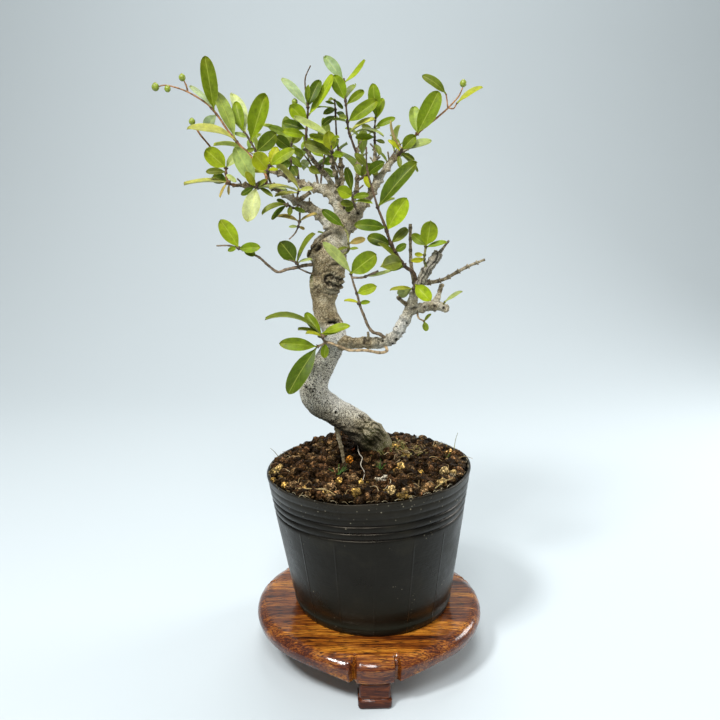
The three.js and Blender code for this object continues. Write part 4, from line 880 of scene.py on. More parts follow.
# %% Turn and carve the board
BOARD_R = 59.5
BOARD_UNDER = 19
APRON = 5
CUSP_X = 10.5


def board_profile():
    """Radius and height, in mm, from the middle of the top round the edge to the middle below."""
    top = [[r, 27] for r in (0, 14, 28, 41, 50, 52.5)]
    bends = [math.radians(turn) for turn in range(6, 91, 7)]
    nose = [[53.5 + 6 * math.sin(turn), 21.9 + 5.1 * math.cos(turn)] for turn in bends]
    nose += [[59.42, 21.6], [59.25, 20.6], [59.0, 19.7], [58.8, 18.9], [58.6, 17.6], [58.5, 16.2],
             [58.4, 15.0], [58.0, 14.3], [57.3, 14.0]]
    below = [[53, 14], [48, 14], [47.0, 14.2], [46.6, 14.8], [46.5, 16.5], [46.5, 18.2], [46.2, 18.8],
             *[[r, BOARD_UNDER] for r in (45, 36, 22, 10, 0)]]
    return top + nose + below


def across_foot(rows):
    """For each point: how far it is sideways from the nearest foot, in mm."""
    angle = np.arctan2(rows[:, 1], rows[:, 0]) + math.pi / 2 - math.radians(STAND_TURN)
    third = 2 * math.pi / 3
    nearest = angle - third * np.round(angle / third)
    return BOARD_R * np.sin(nearest)


def apron_depth(sideways):
    """How far the apron hangs below the board, deepest between the grooves."""
    t = np.linspace(0, 1, 40)
    x = (1 - t) ** 2 * 38 + 2 * t * (1 - t) * (CUSP_X + 14) + t ** 2 * CUSP_X
    z = (1 - t) ** 2 * BOARD_UNDER + 2 * t * (1 - t) * 17.8 + t ** 2 * 14
    depth = (BOARD_UNDER - z)[::-1]
    return np.interp(np.abs(sideways), x[::-1], depth, left=APRON, right=0.4).clip(0.4, APRON)


def carve(rows):
    """The apron's depth and the grooves' and knees' relief, in mm about the board's own axis."""
    sideways = across_foot(rows)
    radius = np.hypot(rows[:, 0], rows[:, 1])
    low = rows[:, 2] < BOARD_UNDER
    rows[low, 2] = BOARD_UNDER - (BOARD_UNDER - rows[low, 2]) * apron_depth(sideways[low]) / APRON
    outer = rise(radius, 50, 5)
    # By the feet the rounded edge is rubbed to a slope, which takes a broad highlight.
    across_nose = rise(radius, 53.5, 6)
    slope = 21.9 + 5.1 * (1 - across_nose ** 1.34) ** 0.75
    near = np.clip((23 - np.abs(sideways)) / 9, 0, 0.9) * (across_nose > 0) * (rows[:, 2] > 21.9)
    rows[:, 2] += near * (slope - rows[:, 2])
    away = np.abs(sideways) - CUSP_X
    groove = 2.5 * hump(away, 1.0)
    knee = 1.1 * np.sqrt(np.clip(1 - (sideways / (CUSP_X - 0.5)) ** 2, 0, 1))
    lobe = 0.9 * rise(away, 0.5, 1.6) * hump(np.clip(away, 0, 99), 9)
    lips = 0.5 * hump(np.abs(away) - 1.8, 0.6)
    change = outer * (knee + lobe + lips - groove) * np.clip((27.6 - rows[:, 2]) / 3, 0.35, 1)
    rows[:, :2] *= ((radius + change) / np.maximum(radius, 0.01))[:, None]
    # Where a groove reaches the top face its two lips stand up like small ears.
    ears = hump(np.abs(away) - 1.6, 0.7) * rise(radius, 53, 4)
    rows[:, 2] += ears * 0.35 * (rows[:, 2] > 24)
    return rows


def make_board():
    board = turned("board", board_profile(), 360)
    rows = carve(corners(board) * 1000) / 1000
    move_to(board, rows + np.array([*STAND_MIDDLE, 0]))
    board.data.materials.append(board_wood)
    soften(board, 55)
    return fit(board, "stand_wood", "stand_board")


make_board()

# %% [markdown]
# ## The three feet
# A foot is a short block under the deepest part of the apron. It is a little narrower above, and a thin
# recess parts it from a rounded band that stands on the table. It starts as a cube at its full size,
# is bevelled all round, is cut near the bottom, and has its upper part drawn in. The other
# two are copies, turned a third of a circle about the board's middle.


# %% Carve a foot and copy it
def make_foot():
    """The front foot, 16 mm wide, 12 mm deep and 14 mm high."""
    bpy.ops.object.select_all(action="DESELECT")
    bpy.ops.mesh.primitive_cube_add(size=1, location=(STAND_MIDDLE[0], STAND_MIDDLE[1] - 0.052, 0.007),
                                    scale=(0.016, 0.012, 0.014))
    foot = bpy.context.object
    bpy.ops.object.transform_apply(location=True, scale=True)
    apply_modifier(foot, "BEVEL", width=0.0017, segments=4, limit_method="ANGLE",
                   angle_limit=math.radians(50))
    bpy.ops.object.mode_set(mode="EDIT")
    for height in (0.0045, 0.0052, 0.0062):
        bpy.ops.mesh.select_all(action="SELECT")
        bpy.ops.mesh.bisect(plane_co=(0, 0, height), plane_no=(0, 0, 1))
    bpy.ops.object.mode_set(mode="OBJECT")
    rows = corners(foot)
    middle = np.array([STAND_MIDDLE[0], STAND_MIDDLE[1] - 0.052])
    groove = np.abs(rows[:, 2] - 0.0052) < 0.0002
    above = rows[:, 2] > 0.0058
    rows[groove, :2] = middle + (rows[groove, :2] - middle) * 0.87
    rows[above, :2] = middle + (rows[above, :2] - middle) * 0.93
    move_to(foot, rows)
    return foot


def turn_about_board(piece, degrees):
    """Turns a piece about the board's upright axis."""
    rows = corners(piece) - np.array([*STAND_MIDDLE, 0])
    c, s = math.cos(math.radians(degrees)), math.sin(math.radians(degrees))
    spun = np.column_stack([rows[:, 0] * c - rows[:, 1] * s, rows[:, 0] * s + rows[:, 1] * c, rows[:, 2]])
    move_to(piece, spun + np.array([*STAND_MIDDLE, 0]))


first_foot = make_foot()
for side, degrees in (("front", STAND_TURN), ("right", 120 + STAND_TURN), ("left", 240 + STAND_TURN)):
    only(first_foot)
    bpy.ops.object.duplicate()
    foot = bpy.context.object
    foot.name = "foot_" + side
    turn_about_board(foot, degrees)
    foot.data.materials.append(foot_wood)
    soften(foot, 35)
    fit(foot, "stand_wood", "stand_foot_" + side)
only(first_foot)
bpy.ops.object.delete()

# %% [markdown]
# ## Black polythene for the pot
# A nursery pot is vacuum formed from thin black polythene. It is not quite black but a warm charcoal, and
# half glossy, so it takes long soft reflections at its sides. It has been watered many times: lime and
# soil dust lie on it as a faint bloom with pale specks, it has fine scratches round it, and a little
# green near its foot. Sixteen thin upright lines are left by the mould's segments.


# %% Make the polythene
POT_AXIS = (0.024, 0.00045)


def dusty_polythene():
    """Charcoal polythene with dust bloom, specks, scratches and upright mould lines."""
    plastic, add = new_material("dusty black polythene",
                                {"IOR": 1.5, "Specular IOR Level": 0.24, "Specular Tint": "#dccfba"})
    where = add("TexCoord")
    spots = add("SeparateXYZ", {}, {0: where})
    bloom = add("TexNoise", {"Scale": 55.0, "Detail": 6.0, "Roughness": 0.65}, {"Vector": where})
    base = add("ValToRGB", {"ramp": [(0.35, "#0b0b0a"), (0.55, "#121211"), (0.72, "#1e1d18")]},
               {"Fac": bloom})
    # The foot of the wall is a little green, and the band under the rim is a little grey.
    green = add("MapRange", {"From Min": 0.058, "From Max": 0.03, "To Max": 0.4}, {"Value": (spots, "Z")})
    mossy = add("Mix", {7: "#1c1d0e"}, {0: green, 6: base})
    # Specks of dust and lime are 0.3 to 0.6 mm, thrown on the band under the rim and low on the right.
    specks = add("TexVoronoi", {"Scale": 420.0, "Randomness": 1.0}, {"Vector": where})
    small = add("MapRange", {"From Min": 0.17, "From Max": 0.06}, {"Value": specks})
    few = add("TexNoise", {"Scale": 85.0, "Detail": 4.0}, {"Vector": where})
    high = add("MapRange", {"From Min": 0.078, "From Max": 0.092, "To Max": 0.17}, {"Value": (spots, "Z")})
    low = add("MapRange", {"From Min": 0.06, "From Max": 0.035, "To Max": 0.14}, {"Value": (spots, "Z")})
    right = add("MapRange", {"From Min": 0.03, "From Max": 0.06}, {"Value": (spots, "X")})
    corner = add("Math", {"operation": "MULTIPLY"}, {0: low, 1: right})
    lucky = add("Math", {"operation": "ADD"}, {0: high, 1: corner})
    odds = add("Math", {"operation": "ADD"}, {0: few, 1: lucky})
    patch = add("MapRange", {"From Min": 0.6, "From Max": 0.72}, {"Value": odds})
    dust = add("Math", {"operation": "MULTIPLY"}, {0: small, 1: patch})
    dusted = add("Mix", {7: "#8f8874"}, {0: dust, 6: mossy})
    # A soft bloom of dry soil just under the rim.
    brim = add("MapRange", {"From Min": 0.09, "From Max": 0.1, "To Max": 0.3}, {"Value": (spots, "Z")})
    soiled = add("Math", {"operation": "MULTIPLY"}, {0: brim, 1: bloom})
    worn = add("Mix", {7: "#4a4438"}, {0: soiled, 6: dusted})
    gloss = add("MapRange", {"From Min": 0.3, "From Max": 0.7, "To Min": 0.22, "To Max": 0.46},
                {"Value": bloom})
    # Sixteen upright lines stand 0.15 mm proud between the foot and the grooves.
    centred = add("VectorMath", {"operation": "SUBTRACT", 1: (*POT_AXIS, 0)}, {0: where})
    flat = add("SeparateXYZ", {}, {0: centred})
    angle = add("Math", {"operation": "ARCTAN2"}, {0: (flat, "Y"), 1: (flat, "X")})
    sixteenth = add("Math", {"operation": "MULTIPLY_ADD", 1: 16 / (2 * math.pi), 2: 20.5}, {0: angle})
    turn = add("Math", {"operation": "FRACT"}, {0: sixteenth})
    off = add("Math", {"operation": "SUBTRACT", 1: 0.5}, {0: turn})
    apart = add("Math", {"operation": "ABSOLUTE"}, {0: off})
    ridge = add("MapRange", {"From Min": 0.035, "From Max": 0.008}, {"Value": apart})
    below = add("MapRange", {"From Min": 0.080, "From Max": 0.077}, {"Value": (spots, "Z")})
    seam = add("Math", {"operation": "MULTIPLY"}, {0: ridge, 1: below})
    round_way = add("Mapping", {"Scale": (60, 60, 1500)}, {"Vector": where})
    scratches = add("TexNoise", {"Scale": 1.0, "Detail": 4.0}, {"Vector": round_way})
    scored = add("Math", {"operation": "MULTIPLY_ADD", 1: 0.35}, {0: scratches, 2: seam})
    # The thin wall is never quite even: soft dents of 6 mm break up the reflections at its sides.
    dents = add("TexNoise", {"Scale": 170.0, "Detail": 5.0, "Roughness": 0.6}, {"Vector": where})
    marks = add("Math", {"operation": "MULTIPLY_ADD", 1: 1.6}, {0: dents, 2: scored})
    relief = add("Bump", {"Strength": 0.5, "Distance": 0.0003}, {"Height": marks})
    add("shader", {}, {"Base Color": worn, "Roughness": gloss, "Normal": relief})
    return plastic


polythene = dusty_polythene()
print("pot material:", polythene.name)

# %% [markdown]
# ## The nursery pot
# The wall is little more than a millimetre thick and widens upwards. Near its foot it steps in, below the
# rim it has five grooves that stiffen it, and its floor has six drain holes. It is a turned form, so
# its profile is drawn as a line from the middle of the floor outside, over the rim and down inside, and
# spun. The real pot is soft and stands a little askew, so at the end its rim is pushed to the left and
# tipped, as the photograph shows.

# %% Turn, drill and lean the pot
STAND_TOP = 27.0
POT_HEIGHT = 74.0
WALL = 1.4


def settle(rows):
    """The pot's lean to the left, and its rim's rise to the right. The soil follows it."""
    part = (rows[:, 2] - STAND_TOP) / POT_HEIGHT
    return np.column_stack([rows[:, 0] - 2.7 * part, rows[:, 1], rows[:, 2] + 0.038 * rows[:, 0] * part])


def wall_radius(height):
    return 40.9 + 11.6 * height / POT_HEIGHT


def pot_profile():
    """Radius and height over the pot's floor, in mm."""
    outside = [[0, 0], [20, 0], [39.0, 0], [39.9, 0.25], [40.4, 1.0], [wall_radius(4.2), 4.2],
               [wall_radius(4.8) - 0.25, 4.8], [wall_radius(5.2) - 0.6, 5.4],
               [wall_radius(9.2) - 0.45, 9.2], [wall_radius(9.8), 10.0]]
    plain = [[wall_radius(h), h] for h in np.linspace(14, 51.5, 12)]
    banded = []
    for h in np.arange(52.4, 71.6, 0.38):
        swell = abs(math.sin(math.pi * (h - 54.4) / 3.8)) ** 0.4
        banded.append([wall_radius(h) - (1.25 if h < 64 else 0.6) * (1 - swell), h])
    rim = [[wall_radius(72), 72], [wall_radius(73) + 0.1, 73], [52.5, 73.6], [52.2, 74], [51.4, 73.9],
           [wall_radius(72) - WALL, 72]]
    inside = [[wall_radius(h) - WALL, h] for h in (60, 40, 20, 6)]
    inside += [[wall_radius(2) - WALL - 0.4, 1.6], [30, WALL], [0, WALL]]
    return outside + plain + banded + rim + inside


def make_pot():
    pot = turned("pot_wall", [[r, h + STAND_TOP] for r, h in pot_profile()], 160)
    drills = []
    for hole in range(6):
        angle = 2 * math.pi * (hole + 0.5) / 6
        middle = (*onward(0, 0, angle, 0.026), STAND_TOP / 1000)
        bpy.ops.mesh.primitive_cylinder_add(vertices=24, radius=0.004, depth=0.006, location=middle)
        bpy.ops.object.transform_apply(location=True)
        drills.append(bpy.context.object)
    drill = joined("drill", drills)
    apply_modifier(pot, "BOOLEAN", operation="DIFFERENCE", object=drill, solver="EXACT")
    only(drill)
    bpy.ops.object.delete()
    rows = corners(pot) * 1000
    angle = np.arctan2(rows[:, 1], rows[:, 0])
    upper = rise(rows[:, 2], 80, 20)
    # The rim of a soft pot is never a true circle: it waves by about a third of a millimetre.
    rows[:, 2] += upper * (0.25 * np.sin(5 * angle + 1) + 0.15 * np.sin(11 * angle))
    rows[:, :2] *= (1 + upper * 0.0035 * np.sin(3 * angle + 0.6))[:, None]
    move_to(pot, to_row(settle(rows)))
    pot.data.materials.append(polythene)
    soften(pot, 50)
    return fit(pot, "pot_plastic", "pot")


make_pot()

# %% [markdown]
# ## Baked clay and pumice for the soil
# Bonsai soil is sifted baked clay: dark crumbly grains of three to five millimetres, with a few ochre
# and orange ones and some pale pumice. The gaps between the grains are painted nearly black, as painted
# shade. All grains share one material, which reads the colour stored on each grain, its own with painted
# shade and glints, and adds a rough skin of half-millimetre crumbs with painted shade between them.


# %% Make the soil and thread materials
def crumbly_clay():
    """Rough damp clay that takes its colour from the grain, with painted shade in the crevices between its
    crumbs.
    """
    clay, add = new_material("baked clay grains", {"Specular IOR Level": 0.14, "Specular Tint": "#e6bd84"})
    own = add("Attribute", {"attribute_name": "tone"})
    where = add("TexCoord")
    # A grain is a cluster of crumbs of about a millimetre, like a raspberry, and each crumb is darkened
    # towards its edges as painted shade in the crevices.
    crumbs = add("TexVoronoi", {"Scale": 950.0}, {"Vector": where})
    grit = add("TexNoise", {"Scale": 1900.0, "Detail": 4.0, "Roughness": 0.7}, {"Vector": where})
    shade = add("ValToRGB", {"ramp": [(0.12, "#ffffff"), (0.40, "#828282"), (0.68, "#1c1c1c")]},
                {"Fac": crumbs})
    colour = add("Mix", {"blend_type": "MULTIPLY", 0: 0.9}, {6: own, 7: shade})
    speck = add("ValToRGB", {"ramp": [(0.38, "#2e2e2e"), (0.5, "#a8a8a8"), (0.62, "#ffffff")]},
                {"Fac": grit})
    specked = add("Mix", {"blend_type": "MULTIPLY", 0: 0.8}, {6: colour, 7: speck})
    wet = add("MapRange", {"From Min": 0.35, "From Max": 0.62, "To Min": 0.3, "To Max": 0.7},
              {"Value": grit})
    hills = add("Math", {"operation": "MULTIPLY_ADD", 1: 0.5}, {0: grit, 2: crumbs})
    relief = add("Bump", {"Strength": 0.95, "Distance": 0.0008, "invert": True}, {"Height": hills})
    add("shader", {}, {"Base Color": specked, "Roughness": wet, "Normal": relief})
    return clay


def plain_skin(name, values, pattern, stops, strength):
    """A skin that takes the colour stored on it, shaded by a fine pattern of a strength."""
    skin, add = new_material(name, values)
    own = add("Attribute", {"attribute_name": "tone"})
    where = add("TexCoord")
    streaks = add("TexNoise", pattern, {"Vector": where})
    shade = add("ValToRGB", {"ramp": stops}, {"Fac": streaks})
    colour = add("Mix", {"blend_type": "MULTIPLY", 0: strength}, {6: own, 7: shade})
    add("shader", {}, {"Base Color": colour})
    return skin, add, streaks


clay = crumbly_clay()
# Roots, straw, grass and moss share one dull fibre.
fibre, _, _ = plain_skin("roots grass and moss", {"Roughness": 0.75, "Specular IOR Level": 0.3},
                         {"Scale": 900.0, "Detail": 3.0}, [(0.3, "#8c8c8c"), (0.65, "#ffffff")], 0.7)
print("soil materials:", clay.name, "and", fibre.name)

# %% [markdown]
# ## The soil and its grains
# The soil is level with the pot's rim, rises a little towards the trunk, and sinks into a dark hollow
# under the trunk's first bend. Below is one closed body that fills the pot. Its crust is made of
# separate grains: four rough lumps are modelled from a cube that is subdivided and rounded, and each is
# copied nearly two hundred times, turned and sized by seeded draws. Big grains take their places first,
# and a smaller one only lands where it isn't mostly inside another. Loose crumbs lie on top.

# %% Shape the soil body and its grains
SOIL_LEVEL = STAND_TOP + POT_HEIGHT - 0.8
SOIL_R = 50.3
TRIES = 8200
CRUMBS = 700
CLAY_TONES = ["#7d5a3a", "#99714a", "#ab8456", "#684a2b", "#49321e", "#c39c6c", "#8a623f", "#775434",
              "#352417"]
LIGHT_GRAINS = numbers("""
  -48 -5.9 3 #b59a5e, -43.8 -14.2 1.7 #cfa14e, -40.9 -25.9 1.9 #c9a055, -47 -17 1.9 #b8924c,
  -45.5 -1.5 2.1 #a98d58, -10 8.2 2.3 #c67f2b, -8.4 6.4 1.5 #cf8a33, -14.5 -24.1 1.9 #c29a4f,
  -3.8 -27.2 1.8 #d2ac5c, -0.8 -25 1.3 #cda45a, 2.5 -35.8 1.7 #d08a2e, 10.5 -38.4 2.5 #cdb078,
  7.6 -36.4 1.5 #bf9a55, 16.6 -10.9 2.4 #c9a562, 14 -13 1.7 #b88c48, 25.6 -15.5 2 #d6ab55,
  37.7 -16.8 2.5 #cfb27a, 34.8 -29.7 2.4 #c9a86c, 42 -18.2 1.9 #d0b070, 7 -24.1 2.5 #d9cfb8,
  4.2 -22.6 1.7 #cfc2a6, -19.1 -38.2 2 #b8965a, -21.6 -37.4 1.4 #cba45c, 43 11.7 2 #bd9355,
  19.3 -45.3 1.2 #d6bd84, 37 17.9 2 #8f6f45, -7.5 14.8 1.7 #9c4f22, -31 -31 1.5 #b08b4e,
  24 -36 1.3 #bb9c62""")


def bump(x, y, middle, spread):
    return np.exp(-(((x - middle[0]) ** 2 + (y - middle[1]) ** 2) / spread ** 2))


def soil_height(x, y):
    return (SOIL_LEVEL + 5 * bump(x, y, (6, 16), 24) + 2.6 * bump(x, y, (-18, 34), 15)
            + 3.5 * bump(x, y, (-11, 40), 7) - 5 * bump(x, y, (-11, 4), 8))


def make_soil_body():
    """The closed body of soil that fills the pot, with a finely broken top."""
    top = [[r, SOIL_LEVEL] for r in np.linspace(0, SOIL_R + 0.3, 34)]
    side = [[wall_radius(h) - 1.9, h + STAND_TOP] for h in (60, 40, 20, 3)]
    below = [[r, STAND_TOP + 1.8] for r in (36, 0)]
    body = turned("soil_body", top + side + below, 110)
    rows = corners(body) * 1000
    crust = rows[:, 2] > SOIL_LEVEL - 0.01
    rough = noise_at(rows[crust], 0.45) + 0.6 * noise_at(rows[crust], 0.9)
    rows[crust, 2] = soil_height(rows[crust, 0], rows[crust, 1]) - 1.3 + 1.3 * rough
    move_to(body, to_row(settle(rows)))
    return body


def model_lump(number, cuts=2):
    """One rough grain of radius 1: a cube that is subdivided, rounded and knocked out of shape."""
    bpy.ops.object.select_all(action="DESELECT")
    bpy.ops.mesh.primitive_cube_add(size=1.6)
    lump = bpy.context.object
    edit_all()
    bpy.ops.mesh.subdivide(number_cuts=cuts)
    bpy.ops.transform.tosphere(value=0.75)
    bpy.ops.object.mode_set(mode="OBJECT")
    rows = corners(lump)
    shift = Vector((number * 7.3, 0, 0))
    knock = noise_at(rows, 1.6, shift) + 0.5 * noise_at(rows, 3.6, shift)
    rows *= (1 + 0.5 * knock)[:, None]
    faces = np.array([list(face.vertices) for face in lump.data.polygons])
    bpy.ops.object.delete()
    return rows, faces


def scatter(draw):
    """Places of grains as x, y, radius and colour: noted light ones first, then big to small."""
    taken = [list(grain) for grain in LIGHT_GRAINS]
    foot = np.array([[*place(point)[:2], point[3]] for point in trunk_run[:8]])
    for attempt in range(TRIES):
        # The first tries are grains of 3 mm in radius, and the size falls until two thirds are done.
        radius = 2.75 - 1.9 * min(1, attempt / 5200) + 0.4 * next(draw)
        out = (SOIL_R - 0.75 * radius) * math.sqrt(next(draw))
        turn = 2 * math.pi * next(draw)
        x, y = onward(0, 0, turn, out)
        shade = CLAY_TONES[int(next(draw) * len(CLAY_TONES))]
        if next(draw) > 0.955:
            shade = ("#a8834a", "#b9954f", "#c2b08a")[attempt % 3]
        if (np.hypot(foot[:, 0] - x, foot[:, 1] - y) < foot[:, 2] * 0.85).any():
            continue
        known = np.array([grain[:3] for grain in taken])
        if (np.hypot(known[:, 0] - x, known[:, 1] - y) > 0.66 * (known[:, 2] + radius)).all():
            taken.append([x, y, radius, shade])
    return taken


def turn_matrix(draw):
    """A rotation by seeded draws."""
    a, b, c = (2 * math.pi * next(draw) for _ in range(3))
    flat = np.array([[math.cos(a), -math.sin(a), 0], [math.sin(a), math.cos(a), 0], [0, 0, 1]])
    tip = np.array([[1, 0, 0], [0, math.cos(b), -math.sin(b)], [0, math.sin(b), math.cos(b)]])
    swing = np.array([[math.cos(c), 0, math.sin(c)], [0, 1, 0], [-math.sin(c), 0, math.cos(c)]])
    return flat @ tip @ swing


def mesh_of(name, rows, faces, colours):
    """One mesh from many copies, with a colour a point."""
    mesh = bpy.data.meshes.new(name)
    mesh.from_pydata(rows.tolist(), [], faces.tolist())
    piece = bpy.data.objects.new(name, mesh)
    bpy.context.scene.collection.objects.link(piece)
    paint(piece, "tone", colours)
    return piece


def make_grains():
    """Every grain, and then loose crumbs that lie on them."""
    lumps = [model_lump(number) for number in range(4)]
    crumb = model_lump(5, 1)
    draw = draws(29)
    grains = scatter(draw)
    solid = len(grains)
    for number in range(CRUMBS):
        out, turn = 49 * math.sqrt(next(draw)), 2 * math.pi * next(draw)
        x, y = onward(0, 0, turn, out)
        small = 0.35 + 0.5 * next(draw)
        if min(math.hypot(x - grain[0], y - grain[1]) - grain[2] for grain in LIGHT_GRAINS) > 0:
            grains.append([x, y, small, CLAY_TONES[number % len(CLAY_TONES)] if number % 7 else "#b9965a"])
    rows, faces, colours = [], [], []
    start = 0
    chance = np.random.default_rng(11)
    for number, (x, y, radius, shade) in enumerate(grains):
        lump, lump_faces = lumps[number % 4] if number < solid else crumb
        squash = np.array([1, 0.75 + 0.35 * next(draw), 0.7 + 0.35 * next(draw)])
        sit = soil_height(x, y) - 0.75 + 0.28 * radius + 1.5 * (next(draw) - 0.5)
        # Each grain's brightness differs at random, and near the hollow under the trunk it is darkened:
        # painted shade.
        bright = (0.38 + 1.15 * next(draw)) * (1 - 0.8 * bump(x, y, (-9, 9), 12))
        if number >= solid:
            sit += 1.3
        if number < len(LIGHT_GRAINS):
            sit += 0.9
            bright = 2.1
        middle = settle(np.array([[x, y, sit]]))
        here = (lump * squash) @ turn_matrix(draw).T * radius
        rows.append(here + middle)
        faces.append(lump_faces + start)
        # The lower part of each grain is darkened between its neighbours: painted shade.
        deep = np.clip((sit + here[:, 2] - soil_height(x, y) + 0.4) / 2.2, 0.05, 1.25)[:, None] ** 1.8
        # Its broken faces differ at random: most are dark, and a rare few are lightened far, which paints
        # the glints of wet grains.
        broken = 0.35 + 3.2 * chance.random((len(lump), 1)) ** (2.9 if bright < 1.6 else 1.5)
        tone = np.array(linear(shade))[:3] * bright
        colours.append(np.hstack([tone * deep * broken, np.ones((len(lump), 1))]))
        start += len(lump)
    print("grains:", solid, "and crumbs:", len(grains) - solid)
    return mesh_of("soil_grains", to_row(np.vstack(rows)), np.vstack(faces), np.vstack(colours))


def make_soil():
    body = make_soil_body()
    # The body is painted nearly black: painted shade in the gaps between the grains.
    paint(body, "tone", np.tile(linear("#0b0704"), (len(body.data.vertices), 1)))
    grains = make_grains()
    soil = joined("soil_crust", [body, grains])
    soil.data.materials.append(clay)
    soften(soil, 28)
    return fit(soil, "soil", "soil")


make_soil()

# %% [markdown]
# ## Roots, straw, grass and moss on the soil
# Fine pale root ends and bits of straw lie on the grains, one long root stands out white in front of the
# hollow, a tuft of grass grows left of the middle and two smaller ones further right, and moss climbs
# the right side of the trunk's foot. They are real strands: lines with a thin round bevel.


# %% Lay the strands
STRANDS = 150
BY_THE_FOOT = 55
RIM_FIBRES = 90
MOSS = 110
STRAW_TONES = ["#a38a5c", "#8c7348", "#c2ae84", "#6f5a3c", "#8f8a44", "#77702f"]


def strand(route, thick, tone):
    """A thin strand through points [x, y, height over the soil], in mm."""
    run = smooth(route, 5)
    lift = soil_height(run[:, 0], run[:, 1]) + run[:, 2]
    rows = to_row(settle(np.column_stack([run[:, 0], run[:, 1], lift])))
    radii = np.linspace(thick, thick * 0.45, len(rows)) / 1000
    piece = line("strand", rows, radii, 0)
    paint(piece, "tone", np.tile(linear(tone), (len(piece.data.vertices), 1)))
    return piece


def make_strands():
    draw = draws(41)
    pieces = [strand([[-3.8, 24, 4], [-5.2, 11, 3.6], [-3.0, -1, 3.8], [-3.8, -10, 3.4], [-2.0, -19, 3.2],
                      [-3.2, -27, 1.8]], 0.27, "#d6ccb8"),
              strand([[-35, -32, 1.8], [-25.6, -35.1, 2.4], [-19.1, -38.2, 2.5], [-13.6, -45.8, 1.6]], 0.4,
                     "#b39a66"),
              strand([[7.5, -20.1, 2], [10.6, -29.7, 3], [7.4, -37.0, 1.8]], 0.24, "#cdbf9d"),
              strand([[31.0, -38.4, 2], [36.1, -32.6, 3], [40.1, -27.2, 2]], 0.3, "#a89660"),
              strand([[46, 14, 1.6], [47.4, 18, 6], [48.6, 17, 10.5]], 0.2, "#8d8a56"),
              strand([[-47, 12, 1.6], [-49.5, 10, 6.5], [-51, 6, 10]], 0.2, "#9a8f66")]
    for number in range(STRANDS):
        turn, out = 2 * math.pi * next(draw), 47 * math.sqrt(next(draw))
        x, y = onward(0, 0, turn, out)
        if number >= BY_THE_FOOT:
            # Dry moss and straw lie thick beside the trunk's foot.
            x, y = 20 + 0.27 * x, 11 + 0.24 * y
        way, long = 2 * math.pi * next(draw), 4 + 6 * next(draw)
        bend = 2.5 * (next(draw) - 0.5)
        half_x, half_y = onward(x, y, way, long * 0.5)
        middle = [half_x - bend * math.sin(way), half_y + bend * math.cos(way), 2.0 + next(draw)]
        end = [*onward(x, y, way, long), 1.2]
        tone = STRAW_TONES[number % (4 if number < BY_THE_FOOT else 6)]
        pieces.append(strand([[x, y, 1.2], middle, end], 0.13 + 0.12 * next(draw), tone))
    return pieces


def make_rim_fibres():
    """Hair roots and crumbs that cling to the rim of the pot."""
    draw = draws(67)
    pieces = []
    for _ in range(RIM_FIBRES):
        turn = 2 * math.pi * next(draw)
        out, way = 50.4 + 1.2 * next(draw), turn + 1.2 + 0.8 * next(draw)
        x, y = onward(0, 0, turn, out)
        long = 1.5 + 2.5 * next(draw)
        lift = SOIL_LEVEL + 1.2 - soil_height(x, y)
        route = [[x, y, lift], [*onward(x, y, way, 0.5 * long), lift + 0.5],
                 [*onward(x, y, way, long), lift - 0.6 * next(draw)]]
        pieces.append(strand(route, 0.12, ("#8a7a58", "#5f5038", "#b5a888")[int(3 * next(draw))]))
    return pieces


def make_tufts():
    """Three tufts of grass, and moss at the right of the trunk's foot."""
    draw = draws(53)
    pieces = []
    for x0, y0, count, long in ((-15.1, -14.2, 12, 6.5), (6.0, -11.5, 6, 4.2), (41, 4, 5, 4)):
        for _ in range(count):
            way = 2 * math.pi * next(draw)
            reach = long * (0.6 + 0.4 * next(draw))
            route = [[x0, y0, 0.5], [*onward(x0, y0, way, 0.4 * reach), 2.6],
                     [*onward(x0, y0, way, reach * 0.8), 3.4 + 3 * next(draw)]]
            pieces.append(strand(route, 0.22, ("#365420", "#54782f")[int(2 * next(draw))]))
    for _ in range(MOSS):
        turn, out = math.pi * (-0.62 + 0.95 * next(draw)), 8.5 + 5.5 * next(draw) ** 1.6
        x, y = onward(6, 16, turn, out)
        way, reach = 2 * math.pi * next(draw), 0.8 + 1.4 * next(draw)
        route = [[x, y, 0.2], [*onward(x, y, way, 0.4 * reach), 1.6],
                 [*onward(x, y, way, reach), 1.9 + 1.6 * next(draw)]]
        pieces.append(strand(route, 0.2, ("#5c6a26", "#76803a", "#8d8a4c")[int(3 * next(draw))]))
    return pieces


strands = joined("root_threads", make_strands() + make_rim_fibres())
tufts = joined("grass_and_moss", make_tufts())
for piece in (strands, tufts):
    piece.data.materials.append(fibre)
    soften(piece, 60)
    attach(piece, "root")
    print(piece.name, "points:", len(piece.data.vertices))
